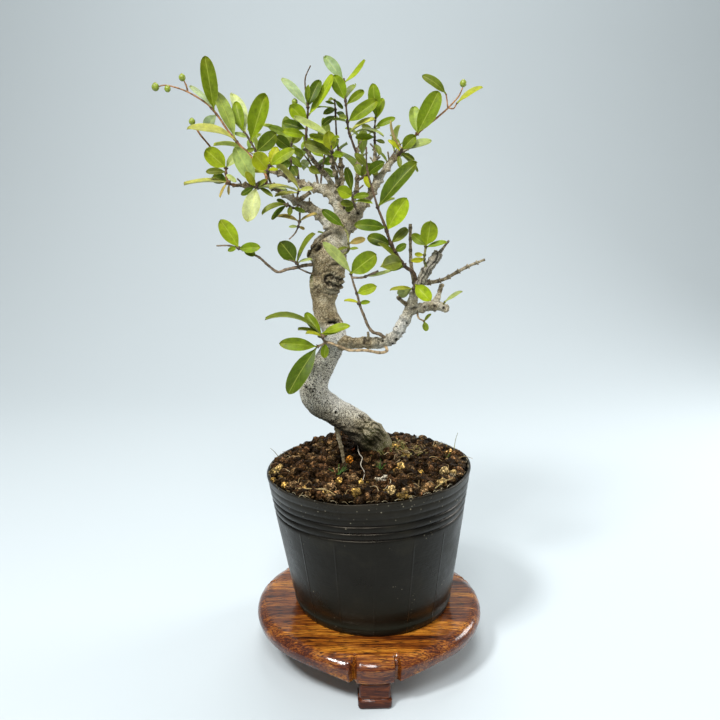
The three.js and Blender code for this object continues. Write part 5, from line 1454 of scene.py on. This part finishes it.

# %% [markdown]
# ## Bark
# Border privet has thin pale grey bark. On this old trunk the lower bend is mottled with fine dark flecks,
# a pale band lies just above the first branch, and the upper trunk is browner, with ring-like wrinkles
# where it healed. The flecks and cracks follow the wood, so the material reads how far along and how
# far round each point of a limb lies, stored on the mesh in millimetres, and a second stored colour
# says where flecks, pale bark with painted light, dirt with painted shade, and moss are.


# %% Make the bark
def grey_bark():
    """Pale grey bark with flecks, cracks, moss, and dirt with painted shade, as stored on the mesh."""
    bark, add = new_material("grey privet bark", {"Roughness": 0.88, "Specular IOR Level": 0.22})
    where = add("TexCoord")
    along = add("Attribute", {"attribute_name": "grain"})
    zones = add("Attribute", {"attribute_name": "zones"})
    part = add("SeparateColor", {}, {0: zones})
    # Blotches of lighter and browner bark are 5 to 12 mm, with small ones inside.
    blotch = add("TexNoise", {"Scale": 130.0, "Detail": 8.0, "Roughness": 0.68}, {"Vector": where})
    ground = add("ValToRGB", {"ramp": [(0.34, "#a2967a"), (0.46, "#c6bc9f"), (0.56, "#dcd5be"),
                                       (0.7, "#ebe6d8")]}, {"Fac": blotch})
    brown = add("ValToRGB", {"ramp": [(0.34, "#6e5a3e"), (0.46, "#9a8862"), (0.57, "#baa985"),
                                      (0.7, "#d4c8aa")]}, {"Fac": blotch})
    upper = add("Mix", {}, {0: (zones, "Alpha"), 6: ground, 7: brown})
    pale = add("Mix", {7: "#e8e6dc"}, {0: (part, "Green"), 6: upper})
    # Flecks are 0.4 to 0.7 mm, longer round the limb than along it, and they thicken in patches.
    fleck_way = add("Mapping", {"Scale": (2.2, 1.4, 1.0)}, {"Vector": (along, "Vector")})
    flecks = add("TexNoise", {"Scale": 1.0, "Detail": 1.0, "Roughness": 0.5, "Distortion": 1.4},
                 {"Vector": fleck_way})
    patchy = add("Math", {"operation": "MULTIPLY_ADD", 1: -0.18}, {0: blotch, 2: flecks})
    fleck = add("MapRange", {"From Min": 0.432, "From Max": 0.444}, {"Value": patchy})
    mottled = add("Math", {"operation": "MULTIPLY"}, {0: fleck, 1: (part, "Red")})
    dark = add("Mix", {7: "#2b261e"}, {0: mottled, 6: pale})
    # On the brown bark the ground shows between the flecks as pale specks.
    gleam = add("MapRange", {"From Min": 0.365, "From Max": 0.32, "To Max": 0.4}, {"Value": patchy})
    bare = add("Math", {"operation": "MULTIPLY"}, {0: gleam, 1: (zones, "Alpha")})
    specked = add("Mix", {7: "#cdc6ae"}, {0: bare, 6: dark})
    # Cracks run along the limb, 0.4 mm wide and 5 mm long.
    crack_way = add("Mapping", {"Scale": (0.22, 1.9, 1.0)}, {"Vector": (along, "Vector")})
    cracks = add("TexNoise", {"Scale": 1.0, "Detail": 5.0, "Roughness": 0.65}, {"Vector": crack_way})
    crack = add("MapRange", {"From Min": 0.45, "From Max": 0.36, "To Max": 0.7}, {"Value": cracks})
    split = add("Math", {"operation": "MULTIPLY"}, {0: crack, 1: (zones, "Alpha")})
    cracked = add("Mix", {7: "#362b1e"}, {0: split, 6: specked})
    # The zones' blue darkens the bark with dirt and with painted shade under the trunk, by the soil and in
    # hollows.
    soiled = add("Mix", {7: "#1a120b"}, {0: (part, "Blue"), 6: cracked})
    moss = add("Attribute", {"attribute_name": "moss"})
    tufted = add("MapRange", {"From Min": 0.40, "From Max": 0.55}, {"Value": flecks})
    moss_part = add("Math", {"operation": "MULTIPLY"}, {0: (moss, "Fac"), 1: tufted})
    mossy = add("Mix", {7: "#5c6324"}, {0: moss_part, 6: soiled})
    rough = add("Math", {"operation": "SUBTRACT"}, {0: cracks, 1: flecks})
    relief = add("Bump", {"Strength": 0.9, "Distance": 0.001}, {"Height": rough})
    add("shader", {}, {"Base Color": mossy, "Normal": relief})
    return bark


bark = grey_bark()
print("bark nodes:", len(bark.node_tree.nodes))

# %% [markdown]
# ## The old wood
# The trunk rises from the right, lies almost flat, turns up at a knee, and carries two healed swellings
# before it forks. Each limb is a line with a round bevel whose radius follows the notes. Lines that only
# cross would leave sharp creases at every fork, so the thick limbs and the knots are melted together
# by a voxel remesh and smoothed, as bark grows over a fork. Thin dead twigs keep their own tubes.
# Then the surface is worked by rules: ring wrinkles, a swirl where a branch was cut, pits and buds.

# %% Join the limbs
THICK = 1.65
VOXEL = 0.00048
KNOT_STEP = 5.2
SPURS_A_LIMB = 5
thick_limbs = {}
thin_limbs = {}
for name, route in LIMBS.items():
    (thick_limbs if route[0][3] > THICK else thin_limbs)[name] = route


def limb_points(route, steps=6):
    """A limb's centre line in the notes' millimetres, with its radii."""
    run = smooth(route, steps)
    crown = rise(run[:, 1], 226, 8)
    return np.array([place(point) for point in run]), run[:, 3] * (1 - 0.14 * crown)


def knotted(points, radii, swell=0.28):
    """Bare twigs are knotted where leaves once stood: the radius swells at even distances."""
    walked = walked_along(points)
    off = walked % KNOT_STEP - KNOT_STEP / 2
    return radii * (1 + swell * hump(off, 0.7))


def make_wood():
    tubes = []
    for name, route in thick_limbs.items():
        points, radii = limb_points(route)
        tubes.append(line(name, to_row(points), radii / 1000, 6))
    tubes += [ball(to_row(place(knot)), knot[3] / 1000, 20) for knot in KNOTS]
    wood = joined("old_wood", [close_up(tube) for tube in tubes])
    apply_modifier(wood, "REMESH", mode="VOXEL", voxel_size=VOXEL, adaptivity=0.0)
    apply_modifier(wood, "SMOOTH", factor=0.5, iterations=5)
    return wood


wood = make_wood()
print("old wood, points after the remesh:", len(wood.data.vertices))


# %% Measure the wood and work its surface
def wood_rows():
    """Every limb's centre line as rows of place, radius, distance along and limb number."""
    rows, frames_of = [], []
    for number, route in enumerate(LIMBS.values()):
        points, radii = limb_points(route)
        walked = walked_along(points)
        frames_of.extend(directions(points))
        rows.extend([[*point, radius, walk, number] for point, radius, walk in zip(points, radii, walked)])
    return np.array(rows), frames_of


def measure(piece, lines, frames_of):
    """For each point of a mesh: distance along its limb, distance round it, radius and limb."""
    rows = corners(piece) * 1000 - TO_ROW
    nearest = np.empty(len(rows), int)
    for start in range(0, len(rows), 4000):
        block = rows[start:start + 4000]
        away = np.linalg.norm(block[:, None, :] - lines[None, :, :3], axis=2) - lines[None, :, 3]
        nearest[start:start + 4000] = away.argmin(axis=1)
    turns = np.array(frames_of)[nearest]
    ahead, side, across = turns[:, 0], turns[:, 1], turns[:, 2]
    out = rows - lines[nearest, :3]
    angle = np.arctan2((out * across).sum(axis=1), (out * side).sum(axis=1))
    radius = lines[nearest, 3]
    along = lines[nearest, 4] + (out * ahead).sum(axis=1)
    return rows, along, angle, radius, lines[nearest, 5].astype(int)


def seen(rows):
    """Where points are seen from the front, as across and up in the front plane."""
    slide = 1 - rows[:, 1] / EYE[1]
    return EYE[0] + (rows[:, 0] - EYE[0]) / slide, EYE[2] + (rows[:, 2] - EYE[2]) / slide


PITS = numbers("""
  11.3 166.7 0.8 0.9, 14.9 169.6 0.8 0.8, -4.9 165.3 0.7 0.8, 4.4 166.3 0.7 0.6, 9.4 164.6 0.6 0.5,
  16.2 175.4 0.6 0.5, 11.2 173.6 0.4 0.3, 1.4 167.9 0.6 0.5, -19.3 129 0.7 0.7, -34.2 142.3 0.7 0.8,
  -32.2 141.5 0.6 0.7, -16.4 191.9 0.9 0.6, -31.2 212 0.9 0.6, -31.9 209.6 0.8 0.5, -14.5 231.5 0.8 0.7,
  -12.5 229.5 0.7 0.6, -8 229 0.8 0.6, 30 184 0.7 0.7, 25 183.5 0.7 0.6, 34.5 183 0.7 0.7""")
# A crack has its half width and depth, and the points it runs through, as seen from the front.
CRACKS = read_notes("""
0.75 1.2: -22.6 194.2, -24.3 196.2, -23.9 198.3, -22.2 199.3, -20.5 199.3, -19.8 198.4, -20.8 197.6
0.6 1: -18.8 197.6, -17 197.3, -15.5 197.4, -15.1 196.6
0.6 0.9: -22.2 195.9, -20.5 194.2, -17.7 193.8, -15.6 195.2
0.5 0.4: -25.6 197.3, -25 194.2, -22.2 192.1, -18.8 191.7, -16 192.8
0.5 0.35: -27 199, -24.9 200.7, -22.2 201.4, -19.4 200.7
0.5 0.35: -29.8 194.2, -27.8 192.1, -25 190.3, -21.6 189.3, -17.8 190.3
1 1.8: -22.4 175.3, -20.1 176, -18.6 175.3
0.5 0.6: -24.5 177, -22.4 177.7
0.9 1.2: -28.2 211.7, -26.8 213
0.7 0.6: -20.4 204.1, -17.7 204.5
0.5 0.5: -29.8 192.1, -27.1 194.2
0.5 0.9: -7.2 127.6, -5.8 126.6, -4.2 124.1
0.5 0.6: -2.5 125.4, 0.3 125, 3.4 124.1, 4.9 122.5
0.5 0.6: -1.3 122.1, -0.1 124, 2.2 122.9, 3.8 120.1
0.5 0.5: 0.6 120.9, 3 119.3, 5.4 116.8
0.5 0.4: -3.7 120.9, -0.5 117.6, 3.5 113.5
0.5 0.35: -8.4 120.9, -5.3 117.6, -1.7 113.1
0.5 0.6: 18.7 182.9, 21 182.9
""")
SCAR = [-20.0, 196.4]


def off_crack(across, up, route):
    """How far each point is from a line through a few points, all as seen from the front."""
    spot = np.column_stack([across, up])
    nearest = np.full(len(spot), 99.0)
    for start, end in zip(route[:-1], route[1:]):
        start, way = np.array(start), np.array(end) - np.array(start)
        part = np.clip(((spot - start) @ way) / way.dot(way), 0, 1)
        nearest = np.minimum(nearest, np.linalg.norm(spot - start - part[:, None] * way, axis=1))
    return nearest


def work_wood(piece, lines, frames_of):
    """Bumps, the healed scar, its collar, pits and cracks: points move along their normals, in mm."""
    rows, along, angle, radius, limb = measure(piece, lines, frames_of)
    across, up = seen(rows)
    front = normals_of(piece)[:, 1] < 0.15
    low = noise_at(rows, 0.16)
    mid = noise_at(rows, 0.5)
    fine = noise_at(rows, 1.5)
    trunk = limb == 0
    slim = rise(radius, 5, -2) * ~trunk
    move = np.clip(radius, 0, 6) * ((0.09 + 0.07 * slim) * low + (0.05 + 0.11 * slim) * mid)
    move += (0.16 + 0.22 * slim) * fine
    # A limb is thicker wherever a twig once left it.
    node = hump((along + limb * 2.3) % 6.4 - 3.2, 0.9)
    move += slim * 0.7 * node * (0.6 + np.sin(2 * angle + limb))
    ringed = trunk * rise(up, 186, 6) * rise(up, 222, -6)
    move += ringed * 0.2 * np.sin(2 * math.pi * along / 3.4 + 7 * mid + 2.5 * np.sin(angle))
    # The collar is a lip of bark that has grown over the trunk's old cut top.
    lip = 218.2 - 0.055 * (across + 18) ** 2
    left = front * trunk * rise(across, -18, -4)
    move += left * (0.9 * hump(up - lip, 1.0) - 0.7 * hump(up - lip - 2.0, 0.9))
    far = np.hypot((across - SCAR[0]) / 5.2, (up - SCAR[1]) / 4.2) * (1 + 0.25 * mid)
    scar = front * trunk
    move += scar * (0.7 * hump(far - 1.0, 0.22) + (far < 0.85) * (0.25 + 0.9 * fine))
    foot = trunk * rise(up, 128, -8)
    move += foot * 0.28 * np.sin(7 * angle + along / 3 + 4 * low)
    # Dirt with painted shade: the groove behind the collar, the knots of slim limbs, the scar's middle and
    # every pit and crack are darkened.
    dirt_and_shade = left * hump(up - lip - 2.0, 0.9) * 0.85
    dirt_and_shade = np.maximum(dirt_and_shade, slim * 0.4 * node * np.clip(fine + 0.4, 0, 1))
    dirt_and_shade = np.maximum(dirt_and_shade, scar * (far < 0.85) * np.clip(0.25 - 1.8 * fine, 0, 0.8))
    for px, pz, wide, deep in PITS:
        from_pit = np.hypot(across - px, up - pz)
        hole = front * hump(from_pit, wide)
        move -= deep * hole
        move += 0.5 * deep * front * hump(from_pit - 1.8 * wide, 0.5)
        dirt_and_shade = np.maximum(dirt_and_shade, np.clip(hole * 1.8 - 0.2, 0, 0.97))
    for size, points in CRACKS:
        wide, deep = numbers(size)[0]
        route = numbers(points)
        from_crack = off_crack(across + 0.5 * mid, up + 0.5 * low, route)
        cut = front * hump(from_crack, wide)
        move -= deep * cut
        move += 0.35 * deep * front * hump(from_crack - 2.1 * wide, 0.8 * wide)
        dirt_and_shade = np.maximum(dirt_and_shade, np.clip(cut * 1.5 - 0.2, 0, 0.95) * min(1, 0.35 + deep * 0.6))
    move_to(piece, to_row(rows + normals_of(piece) * move[:, None]))
    return dirt_and_shade


def zone_colours(piece, lines, frames_of, dirt_and_shade):
    """Stores where flecks, pale bark with painted light, dirt with painted shade, brown bark and moss are,
    and the way along the wood.
    """
    rows, along, angle, radius, limb = measure(piece, lines, frames_of)
    across, up = seen(rows)
    facing = normals_of(piece)
    lean = noise_at(rows, 0.22)
    trunk = limb == 0
    names = list(LIMBS)
    lower = np.isin(limb, [names.index("lower_right"), names.index("knee_stub"), names.index("knee_peg")])
    dead = (limb == names.index("lower_right")) * rise(up, 190, 5)
    # The lower bend is thick with flecks, but less so on the side that faces right and up, which is bleached
    # and is also painted paler as the lit side.
    bleached_and_lit = np.clip(facing[:, 0] * 0.8 + facing[:, 2] * 0.7, 0, 1)
    bend = trunk * rise(up, 165, -4)
    flecks = np.clip(0.6 + bend * (0.4 - 0.2 * bleached_and_lit + 0.3 * lean), 0, 1)
    pale_trunk = trunk * hump(up - 167.5 + 4 * lean, 5)
    bent = bend * (0.35 + 0.45 * bleached_and_lit) * rise(up, 124, 10)
    pale_branch = lower * hump(np.hypot(across - 13, up - 171 + 5 * lean), 8)
    pale = np.clip(pale_trunk + bent + 0.8 * pale_branch + 0.3 * dead, 0, 0.9)
    # The brown bark of the swelling ends along a slant, where grey bark has grown down from the fork.
    brown_end = 206 - 0.95 * (across + 12) + 8 * lean
    crown = rise(up, 214, 12) * np.clip(0.4 + 1.6 * lean - 0.5 * facing[:, 2], 0.05, 0.8)
    root = limb == names.index("surface_root")
    brown = (trunk * rise(up, 172, 4) * rise(up, brown_end, -5) + crown
             + 0.95 * lower * rise(across, 1, -3) + 0.35 * lower * (across > 18)
             + 0.75 * trunk * rise(up, 129, -8) + 0.85 * (radius < 1.3) + 0.15 * dead
             + root)
    # Painted shade darkens the trunk's underside below 140 mm, and all round it a little below 124 mm.
    under = np.clip(-facing[:, 2], 0, 1)
    shade = trunk * 0.9 * np.clip(under * 1.2 + 0.25 * (up < 124), 0, 1) * rise(up, 140, -16)
    plates = dead * np.clip(3 * np.sin(angle * 8 + along * 0.3 + 6 * lean) - 0.6, 0, 1) * 0.75
    knots = 0.65 * (radius < 1.3) * ~root * hump(along % KNOT_STEP - KNOT_STEP / 2, 0.8)
    # Dirt and painted shade are stored together, and the trunk is darkest just above the soil, as dirt and
    # painted shade.
    dirt_and_shade = np.clip(dirt_and_shade + shade + plates + knots + trunk * 0.85 * rise(up, 107, -6)
                   + 0.3 * np.clip(-lean - 0.15, 0, 1), 0, 0.97)
    moss = trunk * rise(up, 121, -12) * rise(across, -1, 7)
    moss = np.maximum(moss, 0.3 * trunk * rise(up, 128, -8) * rise(across, -10, 8))
    moss = np.maximum(moss, 0.9 * trunk * (across < -30) * hump(up - 198, 5))
    paint(piece, "zones", np.column_stack([flecks, pale, dirt_and_shade, np.clip(brown, 0, 1)]))
    layer = piece.data.attributes.new("grain", "FLOAT_VECTOR", "POINT")
    layer.data.foreach_set("vector", np.column_stack([along, angle * radius, limb * 7.0]).ravel())
    layer = piece.data.attributes.new("moss", "FLOAT", "POINT")
    layer.data.foreach_set("value", moss.astype(float))


def make_spurs():
    """Short bare spurs on the crown's limbs, each with a kink and a blunt bud."""
    draw = draws(83)
    spurs = []
    for name in ("left_low", "left_high", "right_main", "centre", "diagonal", "inner", "rear", "upright"):
        points, _ = limb_points(LIMBS[name], 12)
        turns = directions(points)
        for _ in range(SPURS_A_LIMB):
            i = int(len(points) * (0.3 + 0.65 * next(draw)))
            ahead, side, across = turns[i]
            turn = 2 * math.pi * next(draw)
            way = unit(side * math.cos(turn) + across * math.sin(turn) + 0.7 * ahead + np.array([0, 0, 0.5]))
            long = 2 + 4 * next(draw)
            kink = points[i] + way * long * 0.5 + np.array([0.5 * (next(draw) - 0.5), 0, 0.4])
            route = [points[i], kink, points[i] + way * long, points[i] + way * (long + 0.5)]
            spurs.append(close_up(line("spur", to_row(route), [0.0005, 0.0004, 0.00042, 0.0002], 1)))
    return spurs


def make_thin_wood():
    """The thin dead twigs, knotted, with a pair of tiny buds at each knot."""
    pieces = make_spurs()
    for name, route in thin_limbs.items():
        points, radii = limb_points(route, 12)
        pieces.append(close_up(line(name, to_row(points), knotted(points, radii) / 1000, 3)))
        if name == "surface_root":
            continue
        walked = walked_along(points)
        turns = directions(points)
        for stop in np.arange(KNOT_STEP / 2, walked[-1] - 1, KNOT_STEP):
            i = int(np.searchsorted(walked, stop))
            for hand in (-1, 1):
                out = unit(turns[i][2] * hand + turns[i][0] * 0.7)
                bud = np.array([points[i] + out * reach for reach in (0, radii[i] + 0.5, radii[i] + 0.9)])
                pieces.append(close_up(line("bud", to_row(bud), [0.00045, 0.0004, 0.00012], 1)))
    return joined("thin_wood", pieces)


lines, frames_of = wood_rows()
dirt_and_shade = work_wood(wood, lines, frames_of)
zone_colours(wood, lines, frames_of, dirt_and_shade)
thin_wood = make_thin_wood()
zone_colours(thin_wood, lines, frames_of, 0)
tree = joined("old_wood", [wood, thin_wood])
tree.data.materials.append(bark)
soften(tree, 60)
fit(tree, "bark", "tree")

# %% [markdown]
# ## Young bark, leaves and berries
# A stem of this year is brown to orange-brown, with fine pale streaks along it. A privet leaf is thin and
# leathery: the upper side has a soft gloss, a paler midrib in a groove and faint side veins that leave
# it at a steep angle, and the underside is dull and paler. Each leaf has its own colour stored on it,
# and a map that runs along and across the blade, so the veins are drawn in the right place on each.


# %% Make the materials of the shoots
def young_bark():
    """Brown bark with fine streaks that also stand up a little."""
    stem, add, streaks = plain_skin("young privet bark", {"Roughness": 0.7, "Specular IOR Level": 0.35},
                                    {"Scale": 700.0, "Detail": 4.0}, [(0.35, "#7a7a7a"), (0.6, "#ffffff")],
                                    0.9)
    relief = add("Bump", {"Strength": 0.5, "Distance": 0.0003}, {"Height": streaks})
    add("shader", {}, {"Normal": relief})
    return stem


def privet_leaf():
    """A leathery blade: a thin midrib, faint side veins, soft blotches and a lighter margin."""
    leaf, add = new_material("privet leaf", {"Specular IOR Level": 0.2, "Subsurface Weight": 0.15,
                                             "Subsurface Radius": (0.8, 1.0, 0.1),
                                             "Subsurface Scale": 0.001})
    own = add("Attribute", {"attribute_name": "tone"})
    blade = add("UVMap", {"uv_map": "blade"})
    spot = add("SeparateXYZ", {}, {0: blade})
    off = add("Math", {"operation": "SUBTRACT", 1: 0.5}, {0: (spot, "Y")})
    aside = add("Math", {"operation": "ABSOLUTE"}, {0: off})
    where = add("TexCoord")
    # Blotches are 2 to 4 mm, with finer mottling of half a millimetre inside them.
    blotch = add("TexNoise", {"Scale": 300.0, "Detail": 6.0, "Roughness": 0.7}, {"Vector": where})
    shade = add("ValToRGB", {"ramp": [(0.32, "#a8a8a8"), (0.5, "#dadada"), (0.66, "#ffffff")]},
                {"Fac": blotch})
    colour = add("Mix", {"blend_type": "MULTIPLY", 0: 0.8}, {6: own, 7: shade})
    # Six side veins on each hand leave the midrib at about 45 degrees and fade towards the margin.
    bow = add("Math", {"operation": "MULTIPLY", 1: -3.4}, {0: aside})
    count = add("Math", {"operation": "MULTIPLY_ADD", 1: 6.0}, {0: (spot, "X"), 2: bow})
    step = add("Math", {"operation": "FRACT"}, {0: count})
    half = add("Math", {"operation": "SUBTRACT", 1: 0.5}, {0: step})
    gap = add("Math", {"operation": "ABSOLUTE"}, {0: half})
    thin = add("MapRange", {"From Min": 0.09, "From Max": 0.0, "To Max": 0.09}, {"Value": gap})
    fade = add("MapRange", {"From Min": 0.42, "From Max": 0.1}, {"Value": aside})
    vein = add("Math", {"operation": "MULTIPLY"}, {0: thin, 1: fade})
    middle = add("MapRange", {"From Min": 0.032, "From Max": 0.012, "To Max": 0.3}, {"Value": aside})
    hem = add("MapRange", {"From Min": 0.465, "From Max": 0.495, "To Max": 0.22}, {"Value": aside})
    lines_on_it = add("Math", {"operation": "MAXIMUM"}, {0: vein, 1: middle})
    paler = add("Math", {"operation": "MAXIMUM"}, {0: lines_on_it, 1: hem})
    ribbed = add("Mix", {7: "#c2c75c"}, {0: paler, 6: colour})
    gloss = add("MapRange", {"From Min": 0.3, "From Max": 0.7, "To Min": 0.42, "To Max": 0.6},
                {"Value": blotch})
    relief = add("Bump", {"Strength": 0.3, "Distance": 0.00025, "invert": True}, {"Height": lines_on_it})
    add("shader", {}, {"Base Color": ribbed, "Roughness": gloss, "Normal": relief})
    return leaf


stem_bark = young_bark()
leaf_skin = privet_leaf()
berry_skin, _, _ = plain_skin(
    "green berry skin", {"Roughness": 0.35, "Subsurface Weight": 0.1, "Subsurface Scale": 0.0015},
    {"Scale": 1200.0, "Detail": 2.0}, [(0.35, "#a0a0a0"), (0.6, "#ffffff")], 0.6)
print("leaf material nodes:", len(leaf_skin.node_tree.nodes))

# %% [markdown]
# ## One blade, bent two hundred times
# All leaves share one flat blade. It is a grid with more points towards the tip, where the outline turns
# fast, and it gets its thickness from the solidify operator, so it has an upper and a lower face and
# a real edge. Each copy is then stretched to its own length and width, folded a little along its
# midrib, arched, and laid on the midrib line of its own solid, so it stays in that solid's place.

# %% Model the blade
ALONG = [0, 0.035, 0.08, 0.15, 0.24, 0.35, 0.46, 0.57, 0.68, 0.78, 0.865, 0.93, 0.975, 1]
HALF_WIDTH = [0.0, 0.03, 0.11, 0.30, 0.55, 0.79, 0.94, 1.0, 0.97, 0.86, 0.70, 0.50, 0.28, 0.06]
ROUND_TIP = [0.0, 0.03, 0.15, 0.42, 0.70, 0.90, 0.99, 1.0, 0.98, 0.91, 0.78, 0.60, 0.37, 0.08]


def model_blade():
    """A flat blade: along 0 to 1, across -1 to 1, and its two faces at -1 and 1."""
    bpy.ops.object.select_all(action="DESELECT")
    bpy.ops.mesh.primitive_grid_add(x_subdivisions=6, y_subdivisions=len(ALONG) - 1, size=2)
    blade = bpy.context.object
    edit_all()
    bpy.ops.mesh.solidify(thickness=1.0)
    bpy.ops.object.mode_set(mode="OBJECT")
    rows = corners(blade)
    steps = np.round((rows[:, 1] + 1) / 2 * (len(ALONG) - 1)).astype(int)
    rows[:, 1] = np.array(ALONG)[steps]
    middle = (rows[:, 2].min() + rows[:, 2].max()) / 2
    rows[:, 2] = np.where(rows[:, 2] > middle, 1.0, -1.0)
    rows[:, 0] = np.round(rows[:, 0] * 3) / 3
    faces = np.array([list(face.vertices) for face in blade.data.polygons])
    bpy.ops.object.delete()
    return rows, faces


blade_rows, blade_faces = model_blade()
print("blade points:", len(blade_rows), "faces:", len(blade_faces))

# %% Colours of the leaves
LEAF_TONES = {  # upper side, lower side
    "m": ["#758a0c", "#93a34a"], "d": ["#53680a", "#7d8f42"], "o": ["#727e22", "#939c4e"],
    "b": ["#95a815", "#abb750"], "y": ["#b2b81c", "#b9be58"], "l": ["#b5b75c", "#bfc07a"],
    "p": ["#a9b86c", "#b4c07e"], "w": ["#d2da9c", "#d6dcae"], "g": ["#94a64c", "#a5b26a"],
    "s": ["#9fb386", "#aabc96"], "t": ["#b39a58", "#bda76c"]}


def leaf_rows(leaf, draw):
    """A blade's points in the notes' millimetres, bent to the leaf's own place."""
    lay = blade_frame(leaf)
    slim = leaf["width"] < SLENDER * lay["length"]
    round_tip = next(draw)
    outline = np.array(HALF_WIDTH) * (1 - round_tip) + np.array(ROUND_TIP) * round_tip
    u, v, w = blade_rows[:, 1], blade_rows[:, 0], blade_rows[:, 2]
    widths = np.maximum(lay["half"] * np.interp(u, ALONG, outline), 0.34 * (u < 0.2))
    fold = (0.16 + 0.34 * next(draw)) * lay["half"]
    curl = (next(draw) - 0.5) * 0.10 * lay["length"]
    wave = 0.05 * lay["half"] * np.sin(u * 9 + 6 * next(draw)) * v ** 2
    twist = (next(draw) - 0.5) * 0.5
    lift = fold * (np.abs(v) ** 1.3 - 0.45) * np.clip(u * 4, 0, 1) + curl * (u - 0.5) ** 2 * 2 + wave
    lift += v * np.clip(u - 0.3, 0, 1) * twist * lay["half"] * 0.5
    groove = -0.10 * (np.abs(v) < 0.1) * np.clip(u * 5, 0, 1)
    thick = 0.5 * np.where(u < 0.05, 0.62, 0.30 - 0.14 * np.abs(v))
    sway = (next(draw) - 0.5) * 0.05 * lay["length"] * np.sin(np.pi * u)
    rows = rib(leaf, lay, u) + (v * widths + sway * (0 if slim else 1))[:, None] * lay["across"]
    return rows + (lift + groove + w * thick)[:, None] * lay["face"]


def leaf_colours(leaf, draw):
    """One colour a point: the upper side's, the lower side's, a little yellow at root and tip, and painted
    shade across the folded upper face.
    """
    upper, lower = (np.array(linear(tone)) for tone in LEAF_TONES[leaf["tone"]])
    u, w = blade_rows[:, 1], blade_rows[:, 2]
    colour = np.where((w > 0)[:, None], upper, lower)
    warm = np.array(linear("#b4ae34"))
    rest = np.clip(0.4 - u * 4, 0, 1) + 0.3 * next(draw) * np.clip((u - 0.75) * 4, 0, 1)
    colour = colour * (1 - rest[:, None]) + warm * rest[:, None]
    # Each leaf is lighter or darker at random, and its upper face is lighter on one half and darker on the
    # other: painted shade of the fold along the midrib.
    light = 0.74 + 0.31 * next(draw) + (next(draw) - 0.5) * 0.22 * blade_rows[:, 0] * (w > 0)
    green = 0.95 + 0.10 * next(draw)
    return colour * np.column_stack([light, light * green, light * 0.9, np.ones(len(light))])


print("leaf colours:", len(LEAF_TONES))


# %% [markdown]
# ## Dress each shoot
# A shoot is its stem and side twigs, its leaves and its berries. Where a pair of leaves leaves the stem,
# the stem swells into a node. A berry is a small green ball with a blunt point and a little cup where
# its stalk ends. Each shoot is one piece that stands for its own solid.


# %% Dress the shoots
BROWN_STEM = "#83715a"
STEM_TONES = {
    "#a4764a": ("long_shoot", "right_tip", "left_tip"),
    "#8a8a4a": ("right_sprig", "stub_leaf", "fork_leaf"),
    "#5f4a35": ("front_right_twig", "right_knee", "top_left", "top_middle", "top_right"),
    "#b39a74": ("low_twig", "under_sprig")}
SLIM = 0.7  # a solid's stem is drawn stout, so that it prints


def stem_piece(stem, leaves, tone, draw):
    """A stem with a dark swollen node at each pair of leaves, and small uneven knobs between."""
    points, radii = limb_points(stem, 10)
    walked = walked_along(points)
    start = 9 * next(draw)
    radii = radii * SLIM * (1 + 0.13 * np.sin(2.1 * walked + start) * np.sin(0.83 * walked + 2 * start))
    dark = np.zeros(len(points))
    for leaf in leaves:
        near = np.linalg.norm(points - leaf["root"], axis=1)
        if near.min() < 1:
            radii = radii * (1 + 0.5 * hump(near, 0.55))
            dark = np.maximum(dark, hump(near, 0.9))
    piece = close_up(line("stem", to_row(points), radii / 1000, 2))
    rows = corners(piece) * 1000 - TO_ROW
    nearest = np.linalg.norm(rows[:, None, :] - points[None, :, :], axis=2).argmin(axis=1)
    part = 0.8 * dark[nearest][:, None]
    paint(piece, "tone", np.array(linear(tone)) * (1 - part) + np.array(linear("#3a2a1c")) * part)
    piece.data.uv_layers.new(name="blade")
    piece.data.materials.append(stem_bark)
    return piece


def berry_piece(berry):
    """A green berry with a blunt point and a small cup at its stalk."""
    middle = to_row(place(berry))
    piece = ball(middle, berry[3] / 1000, 18)
    rows = corners(piece) - middle
    height = rows[:, 2] / (berry[3] / 1000)
    rows[:, 2] *= 1.08
    rows[height > 0.93, 2] += 0.00022
    move_to(piece, rows + middle)
    ripe = np.array(linear("#8a9a2e"))
    dull = np.array(linear("#6b5a2c"))
    part = np.clip((height - 0.86) * 7, 0, 1)[:, None] + np.clip((-0.86 - height) * 7, 0, 1)[:, None]
    paint(piece, "tone", ripe * (1 - part) + dull * part)
    piece.data.uv_layers.new(name="blade")
    piece.data.materials.append(berry_skin)
    return piece


def leaves_piece(leaves, draw):
    rows, colours, faces = [], [], []
    for number, leaf in enumerate(leaves):
        rows.append(leaf_rows(leaf, draw))
        colours.append(leaf_colours(leaf, draw))
        faces.append(blade_faces + number * len(blade_rows))
    piece = mesh_of("leaves", to_row(np.vstack(rows)), np.vstack(faces), np.vstack(colours))
    layer = piece.data.uv_layers.new(name="blade")
    spots = np.column_stack([blade_rows[:, 1], blade_rows[:, 0] / 2 + 0.5])
    loops = np.zeros(len(piece.data.loops), int)
    piece.data.loops.foreach_get("vertex_index", loops)
    layer.data.foreach_set("uv", np.tile(spots, (len(leaves), 1))[loops].ravel())
    piece.data.materials.append(leaf_skin)
    return close_up(piece, 1e-9)


def dress_shoot(name, shoot, draw):
    tone = next((tone for tone, names in STEM_TONES.items() if name in names), BROWN_STEM)
    pieces = [stem_piece(stem, shoot["leaves"], tone, draw) for stem in shoot["stems"]]
    pieces += [berry_piece(berry) for berry in shoot["berries"]]
    if shoot["leaves"]:
        pieces.append(leaves_piece(shoot["leaves"], draw))
    piece = joined("shoot_" + name, pieces)
    soften(piece, 50)
    return fit(piece, "leaves", name)


leaf_draw = draws(97)
for name, shoot in plant.items():
    dress_shoot(name, shoot, leaf_draw)
print("shoots dressed:", len(plant))
